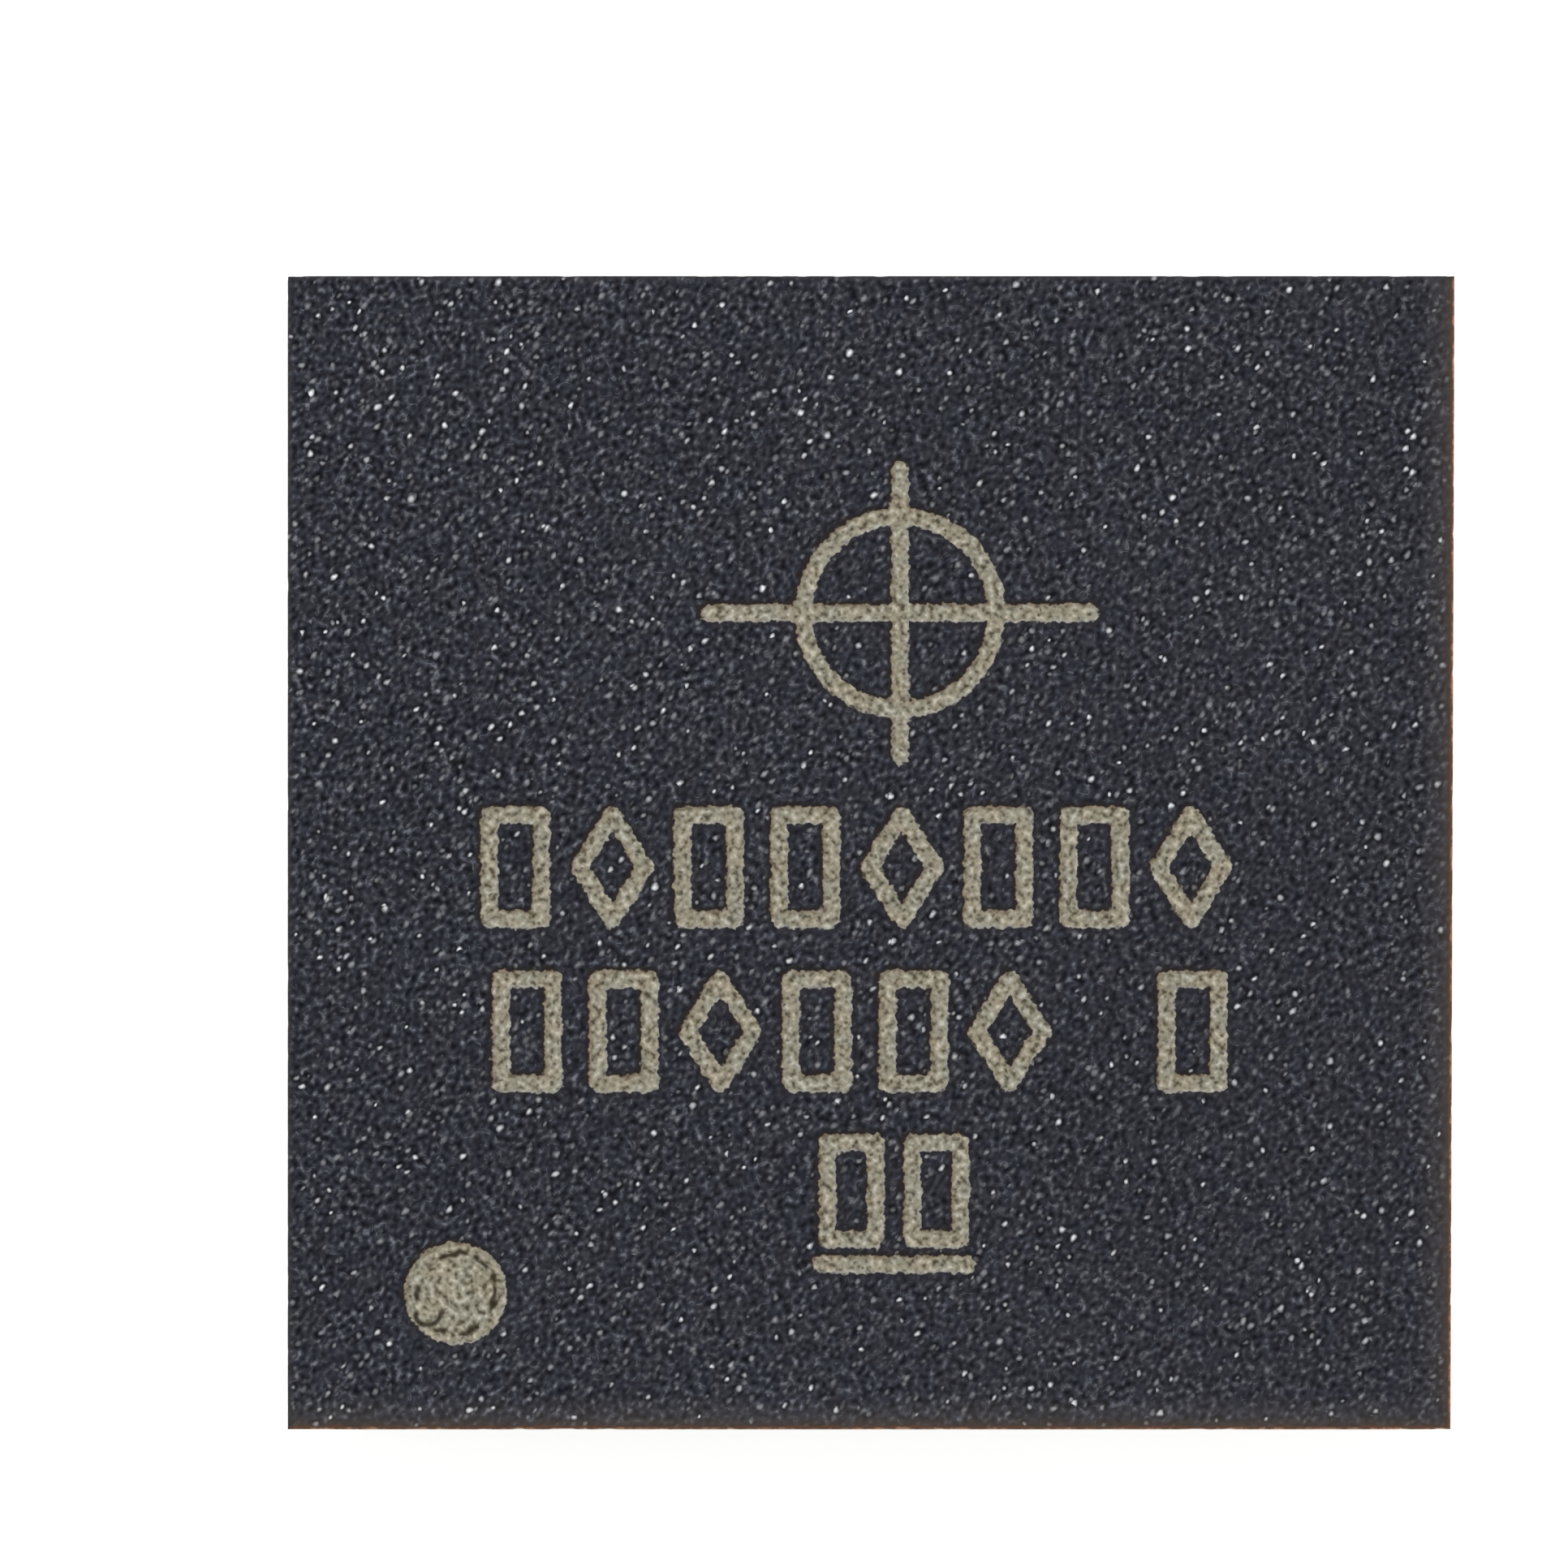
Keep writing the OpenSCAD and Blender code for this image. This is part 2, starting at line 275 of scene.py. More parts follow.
def mix(nt, f, a, b, blend="MIX"):
    n = add(nt, "ShaderNodeMix", data_type="RGBA", blend_type=blend)
    put(nt, n.inputs[0], f)
    put(nt, n.inputs[6], a)
    put(nt, n.inputs[7], b)
    return n.outputs[2]


def rgb(r, g, b):
    """A colour given as 0..255 display values."""
    def lin(c):
        c /= 255
        return c / 12.92 if c <= 0.04045 else ((c + 0.055) / 1.055) ** 2.4
    return (lin(r), lin(g), lin(b), 1.0)


def grey(v):
    return (v, v, v, 1.0)


def coords(nt, sx=1.0, sy=1.0, sz=1.0, shift=(0, 0, 0)):
    """Object coordinates in mm, with a scale on each axis."""
    tc = nt.nodes.new("ShaderNodeTexCoord")
    mp = add(nt, "ShaderNodeMapping", {"Location": shift, "Scale": (1000 * sx, 1000 * sy, 1000 * sz)})
    nt.links.new(tc.outputs["Object"], mp.inputs["Vector"])
    return mp.outputs[0]


def noise(nt, vec, scale, detail=2.0, rough=0.5, distort=0.0, dims="3D", kind="FBM", out=0):
    n = add(nt, "ShaderNodeTexNoise", {"Scale": scale, "Detail": detail, "Roughness": rough, "Distortion": distort},
            noise_dimensions=dims)
    n.noise_type = kind
    nt.links.new(vec, n.inputs["Vector"])
    return n.outputs[out]


def cells(nt, vec, scale, dims="3D", feature="F1", randomness=1.0):
    n = add(nt, "ShaderNodeTexVoronoi", {"Scale": scale, "Randomness": randomness}, voronoi_dimensions=dims)
    n.feature = feature
    nt.links.new(vec, n.inputs["Vector"])
    return n


def split(nt, v):
    n = nt.nodes.new("ShaderNodeSeparateXYZ")
    nt.links.new(v, n.inputs[0])
    return n.outputs


def bump(nt, bsdf, height, distance_mm, strength=1.0, normal=None):
    b = add(nt, "ShaderNodeBump", {"Height": height, "Distance": distance_mm * MM, "Strength": strength})
    if normal is not None:
        nt.links.new(normal, b.inputs["Normal"])
    if bsdf is not None:
        nt.links.new(b.outputs[0], bsdf.inputs["Normal"])
    return b.outputs[0]


def grains_and_glints(nt, vec, scale, dims, keep, r0, r1, low, high, power=2.2):
    """Scattered bright specks, used both for filler grains and for painted glints: a share keep of the cells holds one,
    of brightness low..high. The second output is a ring round each speck.
    """
    wob = noise(nt, vec, scale * 1.3, 1, dims=dims, out=1)
    v2 = add(nt, "ShaderNodeVectorMath", operation="MULTIPLY_ADD")
    nt.links.new(wob, v2.inputs[0])
    v2.inputs[1].default_value = (0.35 / scale,) * 3
    nt.links.new(vec, v2.inputs[2])
    c = cells(nt, v2.outputs[0], scale, dims)
    sep = nt.nodes.new("ShaderNodeSeparateColor")
    nt.links.new(c.outputs["Color"], sep.inputs[0])
    on = m(nt, "LESS_THAN", sep.outputs[0], keep)
    size = remap(nt, sep.outputs[1], 0, 1, 0.7, 1.25, "LINEAR")
    d = m(nt, "DIVIDE", c.outputs["Distance"], size)
    core = remap(nt, d, r1, r0, 0, 1)
    halo = m(nt, "MULTIPLY", remap(nt, d, r1 * 2.3, r1 * 1.25, 0, 1), on)
    level = m(nt, "POWER", sep.outputs[2], power)
    level = m(nt, "MULTIPLY_ADD", level, high - low, low)
    return m(nt, "MULTIPLY", m(nt, "MULTIPLY", core, on), level), halo


# ---------------------------------------------------------------- materials
def turned(nt, angle, shift):
    """Coordinates in mm turned about Z, so that layers of noise don't share one lattice."""
    tc = nt.nodes.new("ShaderNodeTexCoord")
    mp = add(nt, "ShaderNodeMapping", {"Location": shift, "Scale": (1000, 1000, 1000), "Rotation": (0, 0, angle)})
    nt.links.new(tc.outputs["Object"], mp.inputs["Vector"])
    return mp.outputs[0]


def drawn(nt, shift, ratio):
    """Coordinates in mm in which a round grain comes out ratio times longer along the 50 degree diagonal."""
    tc = nt.nodes.new("ShaderNodeTexCoord")
    k = math.sqrt(ratio)
    mp = add(nt, "ShaderNodeMapping", {"Location": [-v * MM for v in shift], "Scale": (MM * k, MM / k, MM),
                                       "Rotation": (0, 0, math.radians(50))}, vector_type="TEXTURE")
    nt.links.new(tc.outputs["Object"], mp.inputs["Vector"])
    return mp.outputs[0]


def spun(nt, vec, angle):
    mp = add(nt, "ShaderNodeMapping", {"Rotation": (0, 0, angle)})
    nt.links.new(vec, mp.inputs["Vector"])
    return mp.outputs[0]


def ramp(nt, v, stops):
    """Colour ramp through (position, colour) stops."""
    n = add(nt, "ShaderNodeValToRGB", {"Fac": v})
    e = n.color_ramp.elements
    e[0].position, e[0].color = stops[0]
    e[1].position, e[1].color = stops[-1]
    for pos, col in stops[1:-1]:
        e.new(pos).color = col
    return n.outputs[0]


def mould_top_material():
    mt, nt, b = new_mat("mould_top")
    p = coords(nt)
    # filler grain: two turned layers of one size, then a steep curve, so most of it is dark and the peaks glint
    g1 = noise(nt, spun(nt, drawn(nt, (0.5, 0.9, 0), 1.25), 0.5), 27, 0, 0.5, 0.0, "2D")
    g2 = noise(nt, spun(nt, drawn(nt, (3.1, 5.3, 0), 1.2), -0.4), 36, 0, 0.5, 0.0, "2D")
    grain = m(nt, "MULTIPLY", m(nt, "ADD", g1, g2), 0.5)
    wide = noise(nt, p, 1.1, 2, 0.5, 0, "2D")
    mid = noise(nt, turned(nt, 0.9, (7.7, 2.1, 0)), 7, 1, 0.5, 0.3, "2D")
    # grain is stronger in some patches than in others
    xyz = split(nt, p)
    lean = m(nt, "MULTIPLY_ADD", xyz[0], -0.028, m(nt, "MULTIPLY_ADD", xyz[1], 0.02, 1.0))   # stronger towards -X +Y
    swell = m(nt, "MULTIPLY", remap(nt, mid, 0.3, 0.7, 0.88, 1.22, "LINEAR"), lean)
    grain = m(nt, "MULTIPLY_ADD", m(nt, "SUBTRACT", grain, 0.5), swell, 0.5)
    grain = m(nt, "ADD", grain, remap(nt, wide, 0.3, 0.7, -0.012, 0.012, "LINEAR"))
    grain = m(nt, "ADD", grain, remap(nt, xyz[1], -1.6, -2.9, 0.0, 0.022))
    base = ramp(nt, grain, [(0.18, rgb(16, 17, 23)), (0.25, rgb(22, 23, 30)), (0.32, rgb(30, 31, 38)),
                            (0.424, rgb(39, 40, 48)), (0.50, rgb(46, 47, 55)), (0.576, rgb(53, 54, 62)),
                            (0.643, rgb(61, 62, 70)), (0.69, rgb(70, 71, 79)), (0.74, rgb(81, 82, 90)),
                            (0.79, rgb(96, 97, 105)), (0.86, rgb(118, 119, 127))])
    # short curled streaks where the resin lies thin over a grain
    curl = noise(nt, turned(nt, 0.6, (4.4, 9.1, 0)), 15, 1, 0.5, 0.5, "2D")
    curl = remap(nt, m(nt, "ABSOLUTE", m(nt, "SUBTRACT", curl, 0.5)), 0.030, 0.006)
    curl = m(nt, "MULTIPLY", curl, remap(nt, g1, 0.50, 0.66))
    base = mix(nt, m(nt, "MULTIPLY", curl, m(nt, "MULTIPLY", swell, 0.36)), base, rgb(122, 126, 134))
    # cooler and warmer patches
    hue = noise(nt, turned(nt, 0.2, (1.3, 8.8, 0)), 5, 2, 0.6, 0.4, "2D")
    hue = m(nt, "MULTIPLY_ADD", xyz[0], -0.028, hue)
    base = mix(nt, 1.0, base, mix(nt, remap(nt, hue, 0.35, 0.65), (1.03, 1.0, 0.97, 1), (0.972, 1.01, 1.032, 1)), "MULTIPLY")
    # painted glints: bright specks on the filler grains, in three sizes
    s1, h1 = grains_and_glints(nt, drawn(nt, (0.4, 2.9, 0), 1.3), 14, "2D", 0.20, 0.0, 0.255, 0.12, 1.0, 1.5)
    s2, h2 = grains_and_glints(nt, drawn(nt, (3.3, 7.7, 0), 1.5), 18, "2D", 0.45, 0.0, 0.36, 0.008, 0.28, 2.8)
    s3, h3 = grains_and_glints(nt, drawn(nt, (9.3, 1.7, 0), 1.5), 23, "2D", 0.35, 0.0, 0.40, 0.006, 0.12, 2.6)
    s2 = m(nt, "MULTIPLY", m(nt, "MAXIMUM", s2, s3), lean)
    s1 = m(nt, "MULTIPLY", s1, lean)

    # the marks: a ragged edge on the stored distance
    dist = add(nt, "ShaderNodeAttribute", attribute_name="mark_d").outputs["Fac"]
    shade = add(nt, "ShaderNodeAttribute", attribute_name="mark_s").outputs["Fac"]
    rag = m(nt, "SUBTRACT", noise(nt, p, 26, 1.5, 0.65, 0.0, "2D"), 0.5)
    d = m(nt, "MULTIPLY_ADD", rag, 0.038, dist)
    ds = m(nt, "MULTIPLY_ADD", rag, 0.038, shade)
    mark = remap(nt, d, 0.004, -0.005)
    near = remap(nt, d, 0.040, 0.006)
    painted_shadow = remap(nt, ds, 0.012, -0.004)
    lee = m(nt, "SUBTRACT", dist, shade)              # above 0 on the -X +Y side of a stroke, below 0 on the other
    quiet = m(nt, "SUBTRACT", 1.0, m(nt, "MULTIPLY", near, 0.85))
    spark = m(nt, "MULTIPLY", m(nt, "MAXIMUM", s1, s2), quiet)
    # painted shade: a dark ring round each painted glint
    dark = m(nt, "MULTIPLY_ADD", m(nt, "MAXIMUM", h1, m(nt, "MULTIPLY", h2, 0.4)), -0.52, 1.0)
    base = mix(nt, 1.0, base, add(nt, "ShaderNodeCombineColor", {0: dark, 1: dark, 2: dark}).outputs[0], "MULTIPLY")
    base = mix(nt, m(nt, "MULTIPLY", near, 0.72), base, rgb(38, 36, 42))
    # painted shadow: a brown-dark fringe outside each stroke on its -X +Y side
    base = mix(nt, m(nt, "MULTIPLY", painted_shadow, 0.7), base, rgb(42, 35, 30))
    # the painted glints, in bluish white
    base = mix(nt, spark, base, (0.93, 0.96, 1.0, 1))

    # burnt surface inside the marks
    blot = noise(nt, turned(nt, 0.7, (2.2, 6.1, 0)), 31, 0.8, 0.55, 0.0, "2D")
    warm = noise(nt, p, 6.5, 2, 0.5, 0, "2D")
    tan = ramp(nt, blot, [(0.20, rgb(80, 75, 62)), (0.30, rgb(110, 104, 90)), (0.40, rgb(137, 131, 115)),
                          (0.50, rgb(151, 145, 129)), (0.62, rgb(165, 159, 144)), (0.78, rgb(196, 191, 177))])
    tan = mix(nt, 1.0, tan, mix(nt, remap(nt, warm, 0.35, 0.65), (0.96, 1.0, 1.0, 1), (1.03, 1.0, 0.95, 1)), "MULTIPLY")
    # small pits, mostly near the middle of a stroke
    bent = add(nt, "ShaderNodeVectorMath", operation="MULTIPLY_ADD")
    nt.links.new(noise(nt, p, 28, 1, dims="2D", out=1), bent.inputs[0])
    bent.inputs[1].default_value = (0.028,) * 3
    nt.links.new(turned(nt, 0.4, (1.9, 0.4, 0)), bent.inputs[2])
    spot = cells(nt, bent.outputs[0], 21, "2D")
    ssep = nt.nodes.new("ShaderNodeSeparateColor")
    nt.links.new(spot.outputs["Color"], ssep.inputs[0])
    pit = remap(nt, spot.outputs["Distance"], 0.34, 0.06)
    pit = m(nt, "MULTIPLY", pit, remap(nt, ssep.outputs[0], 0.25, 0.95, 0.0, 1.0, "LINEAR"))
    pit = m(nt, "MULTIPLY", pit, remap(nt, d, -0.006, -0.020))
    tan = mix(nt, m(nt, "MULTIPLY", pit, 0.85), tan, rgb(72, 66, 50))
    rim = remap(nt, d, -0.022, 0.002)
    # painted shade inside a stroke's edge on its -X +Y side, painted highlight inside its edge on the +X -Y side
    tan = mix(nt, m(nt, "MULTIPLY", m(nt, "MULTIPLY", rim, remap(nt, lee, 0.002, 0.013)), 0.6), tan, rgb(124, 106, 84))
    tan = mix(nt, m(nt, "MULTIPLY", m(nt, "MULTIPLY", rim, remap(nt, lee, -0.002, -0.013)), 0.5), tan, rgb(160, 160, 160))
    # broken dark ring and loop inside the dot

    def circle(cx, cy, r, half, wav):
        dx, dy = m(nt, "SUBTRACT", xyz[0], cx), m(nt, "SUBTRACT", xyz[1], cy)
        rr = m(nt, "SQRT", m(nt, "ADD", m(nt, "MULTIPLY", dx, dx), m(nt, "MULTIPLY", dy, dy)))
        rr = m(nt, "MULTIPLY_ADD", m(nt, "SUBTRACT", noise(nt, p, 9, 1, 0.5, 0, "2D"), 0.5), wav, rr)
        return remap(nt, m(nt, "ABSOLUTE", m(nt, "SUBTRACT", rr, r)), half * 2.0, half * 0.3), dy, rr

    ring, _, _ = circle(DOT[0], DOT[1], 0.206, 0.013, 0.07)
    gaps = noise(nt, coords(nt, shift=(1.7, 4.1, 0)), 7.5, 1.5, 0.6, 0, "2D")
    ring = m(nt, "MULTIPLY", ring, remap(nt, gaps, 0.41, 0.52))
    loop, ldy, lr = circle(DOT[0] - 0.145, DOT[1] - 0.105, 0.062, 0.011, 0.02)
    loop = m(nt, "MULTIPLY", loop, remap(nt, ldy, 0.035, -0.005))
    ring = m(nt, "MULTIPLY", ring, remap(nt, lr, 0.07, 0.10))
    tan = mix(nt, m(nt, "MULTIPLY", m(nt, "MAXIMUM", ring, loop), 0.92), tan, rgb(46, 38, 24))
    base = mix(nt, mark, base, tan)

    # sawn edges: a brown band and a warm rim at +X and -Y, a dark band at -X and +Y
    warm_d = add(nt, "ShaderNodeAttribute", attribute_name="warm_d").outputs["Fac"]
    pale_d = add(nt, "ShaderNodeAttribute", attribute_name="pale_d").outputs["Fac"]
    jag = m(nt, "MULTIPLY", m(nt, "SUBTRACT", noise(nt, p, 11, 2, 0.6, 0, "2D"), 0.5), 0.02)
    wd = m(nt, "ADD", warm_d, jag)
    pd = m(nt, "ADD", pale_d, jag)
    base = mix(nt, m(nt, "MULTIPLY", remap(nt, wd, 0.19, 0.07), 0.12), base, rgb(116, 108, 104))
    base = mix(nt, m(nt, "MULTIPLY", remap(nt, wd, 0.075, 0.02), 0.7), base, rgb(74, 63, 55))
    # noise that breaks up the warm rim along +X and -Y
    rim_noise = noise(nt, turned(nt, 0.3, (6.6, 3.9, 0)), 16, 3, 0.65, 0.3)
    base = mix(nt, remap(nt, wd, 0.026, 0.012), base, rgb(94, 68, 54))
    pale = remap(nt, m(nt, "MULTIPLY_ADD", m(nt, "SUBTRACT", rim_noise, 0.5), 0.03, warm_d), 0.013, 0.002)
    base = mix(nt, pale, base, mix(nt, remap(nt, rim_noise, 0.36, 0.62), rgb(164, 126, 102), rgb(98, 75, 61)))
    base = mix(nt, m(nt, "MULTIPLY", remap(nt, pd, 0.035, 0.008), 0.7), base, rgb(54, 53, 55))
    nt.links.new(base, b.inputs["Base Color"])
    rough = remap(nt, grain, 0.3, 0.7, 0.72, 0.5, "LINEAR")
    rough = m(nt, "MULTIPLY_ADD", mark, 0.2, rough, clamp=True)
    nt.links.new(rough, b.inputs["Roughness"])
    b.inputs["Specular IOR Level"].default_value = 0.10
    h = m(nt, "MULTIPLY_ADD", spark, 0.6, grain)
    h = m(nt, "MULTIPLY_ADD", m(nt, "MULTIPLY", mark, blot), 0.5, h)
    h = m(nt, "MULTIPLY_ADD", m(nt, "MULTIPLY", mark, pit), -0.8, h)
    bump(nt, b, h, 0.006, 0.6)
    return mt


def mould_side_material():
    """Sawn face: fine grey compound, faint streaks along the cut, filler grains cut through."""
    mt, nt, b = new_mat("mould_side")
    p = coords(nt)
    streak = noise(nt, coords(nt, 0.35, 0.35, 26), 3.0, 3, 0.6)
    grain = noise(nt, p, 34, 2, 0.65)
    wide = noise(nt, coords(nt, 1, 1, 2.5), 1.4, 2, 0.5)
    tone = m(nt, "MULTIPLY", remap(nt, grain, 0.3, 0.7, 0.62, 1.42, "LINEAR"), remap(nt, streak, 0.3, 0.7, 0.84, 1.18, "LINEAR"))
    tone = m(nt, "MULTIPLY", tone, remap(nt, wide, 0.35, 0.65, 0.9, 1.1, "LINEAR"))
    base = mix(nt, 1.0, (0.031, 0.031, 0.036, 1), add(nt, "ShaderNodeCombineColor", {0: tone, 1: tone, 2: tone}).outputs[0], "MULTIPLY")
    small, _ = grains_and_glints(nt, p, 27, "3D", 0.5, 0.0, 0.40, 0.01, 0.13, 2.0)
    large, halo = grains_and_glints(nt, coords(nt, shift=(5.1, 2.2, 7.9)), 13, "3D", 0.16, 0.05, 0.21, 0.05, 0.42, 2.0)
    base = mix(nt, m(nt, "MULTIPLY", halo, 0.35), base, rgb(30, 30, 33))
    base = mix(nt, m(nt, "MAXIMUM", small, large), base, (0.78, 0.80, 0.82, 1))
    nt.links.new(base, b.inputs["Base Color"])
    nt.links.new(remap(nt, streak, 0.3, 0.7, 0.46, 0.66, "LINEAR"), b.inputs["Roughness"])
    b.inputs["Specular IOR Level"].default_value = 0.22
    bump(nt, b, m(nt, "MULTIPLY_ADD", streak, 0.6, grain), 0.005, 0.8)
    return mt


def mask_material():
    """Green mask: nearly black over copper, green where only laminate lies under it. Stored values say which."""
    mt, nt, b = new_mat("green_mask")
    p = coords(nt)
    xyz = split(nt, p)
    cop = add(nt, "ShaderNodeAttribute", attribute_name="copper").outputs["Fac"]
    inset = add(nt, "ShaderNodeAttribute", attribute_name="inset").outputs["Fac"]      # distance inside the copper, 0..1
    line = add(nt, "ShaderNodeAttribute", attribute_name="line").outputs["Fac"]
    by_line = remap(nt, add(nt, "ShaderNodeAttribute", attribute_name="by_line").outputs["Fac"], 0.35, 0.65)
    ring = add(nt, "ShaderNodeAttribute", attribute_name="ring").outputs["Fac"]
    side = add(nt, "ShaderNodeAttribute", attribute_name="side").outputs["Fac"]
    wide = noise(nt, p, 1.6, 2, 0.5)
    fine = noise(nt, p, 13, 3, 0.62, 0.4)
    cloud = noise(nt, coords(nt, shift=(2.1, 5.5, 0)), 7, 3, 0.65, 0.5)
    blot = noise(nt, coords(nt, shift=(4.4, 1.2, 0)), 26, 2, 0.6, 0.6)
    # border: dark green, clouded with a lighter band beside the copper at +X
    bare = mix(nt, remap(nt, fine, 0.35, 0.65), rgb(30, 48, 25), rgb(45, 65, 37))
    bare = mix(nt, m(nt, "MULTIPLY", remap(nt, wide, 0.45, 0.65), 0.6), bare, rgb(40, 63, 33))
    outer = remap(nt, xyz[2], Z_MASK + 0.024, Z_MASK + 0.018)
    band = m(nt, "MULTIPLY", remap(nt, xyz[0], HX - 0.10, HX - 0.055), remap(nt, cloud, 0.34, 0.6, 0.45, 1.0))
    band = m(nt, "MULTIPLY", band, outer)
    bare = mix(nt, band, bare, mix(nt, remap(nt, fine, 0.35, 0.65), rgb(62, 79, 51), rgb(84, 100, 72)))
    bare = mix(nt, remap(nt, inset, 0.42, 0.50), bare, rgb(20, 32, 22))                # shade at the foot of the step
    brown = m(nt, "MINIMUM", m(nt, "SUBTRACT", HX, m(nt, "ABSOLUTE", xyz[0])), m(nt, "SUBTRACT", HY, m(nt, "ABSOLUTE", xyz[1])))
    brown = m(nt, "MULTIPLY_ADD", m(nt, "SUBTRACT", fine, 0.5), 0.02, brown)
    brown = m(nt, "MULTIPLY", remap(nt, brown, 0.030, 0.006), outer)
    bare = mix(nt, m(nt, "MULTIPLY", brown, 0.8), bare, rgb(62, 50, 22))
    # over copper: greyer near +X, with patches of short creases that run along Y, their light lines a painted highlight
    over = mix(nt, remap(nt, fine, 0.3, 0.7), rgb(10, 17, 12), rgb(25, 34, 27))
    edge_x = remap(nt, m(nt, "MULTIPLY_ADD", m(nt, "SUBTRACT", cloud, 0.5), 0.12, xyz[0]), CU_HI[0] - 0.20, CU_HI[0] - 0.08)
    over = mix(nt, m(nt, "MULTIPLY", edge_x, 0.75), over, mix(nt, remap(nt, blot, 0.3, 0.7), rgb(44, 49, 41), rgb(66, 71, 62)))
    run = noise(nt, coords(nt, 1.5, 0.75, 1), 11, 1.5, 0.55, 0.7)
    crease = remap(nt, m(nt, "ABSOLUTE", m(nt, "SUBTRACT", run, 0.5)), 0.030, 0.008)
    patch = remap(nt, noise(nt, coords(nt, shift=(7.7, 3.3, 0)), 2.6, 2, 0.6), 0.48, 0.60)
    crease = m(nt, "MULTIPLY", m(nt, "MULTIPLY", crease, patch), remap(nt, blot, 0.35, 0.6))
    # painted highlight on the creases
    over = mix(nt, m(nt, "MULTIPLY", crease, 0.8), over, rgb(84, 93, 82))
    speck, shade = grains_and_glints(nt, coords(nt, shift=(1.1, 8.3, 0)), 14, "2D", 0.11, 0.0, 0.19, 0.06, 0.75, 3.0)
    over = mix(nt, m(nt, "MULTIPLY", shade, 0.5), over, rgb(6, 9, 7))
    over = mix(nt, speck, over, rgb(158, 166, 152))
    # painted shade in the splits and between a ball and its ring, a painted highlight on one lip
    jag = m(nt, "MULTIPLY_ADD", m(nt, "SUBTRACT", fine, 0.5), 0.008, line)
    groove_shade = m(nt, "MAXIMUM", remap(nt, m(nt, "ABSOLUTE", jag), 0.017, 0.009), m(nt, "MULTIPLY", ring, remap(nt, jag, 0.012, 0.002)))
    over = mix(nt, m(nt, "MULTIPLY", m(nt, "MULTIPLY", groove_shade, by_line), 0.9), over, rgb(9, 8, 5))
    # painted highlight on one lip of each split
    lip = m(nt, "MULTIPLY", remap(nt, m(nt, "ABSOLUTE", m(nt, "SUBTRACT", jag, 0.0225)), 0.010, 0.003), by_line)
    lip = m(nt, "MULTIPLY", lip, remap(nt, cloud, 0.36, 0.62, 0.15, 1.0))
    over = mix(nt, lip, over, rgb(70, 76, 64))
    base = mix(nt, cop, bare, over)
    # painted highlight along the heaped mask at the copper's edge, strongest at -X
    rise = m(nt, "MULTIPLY_ADD", m(nt, "SUBTRACT", fine, 0.5), 0.06, inset)
    ridge = m(nt, "MULTIPLY", remap(nt, m(nt, "ABSOLUTE", m(nt, "SUBTRACT", rise, 0.475)), 0.062, 0.03), side)
    ridge = m(nt, "MULTIPLY", ridge, outer)
    base = mix(nt, m(nt, "MULTIPLY", ridge, remap(nt, blot, 0.25, 0.55, 0.5, 1.0)), base, rgb(120, 128, 116))
    nt.links.new(base, b.inputs["Base Color"])
    nt.links.new(remap(nt, blot, 0.35, 0.7, 0.16, 0.40, "LINEAR"), b.inputs["Roughness"])
    b.inputs["Specular IOR Level"].default_value = 0.12
    bump(nt, b, m(nt, "MULTIPLY_ADD", crease, 0.5, m(nt, "MULTIPLY_ADD", blot, 0.5, fine)), 0.006, 0.7)
    return mt


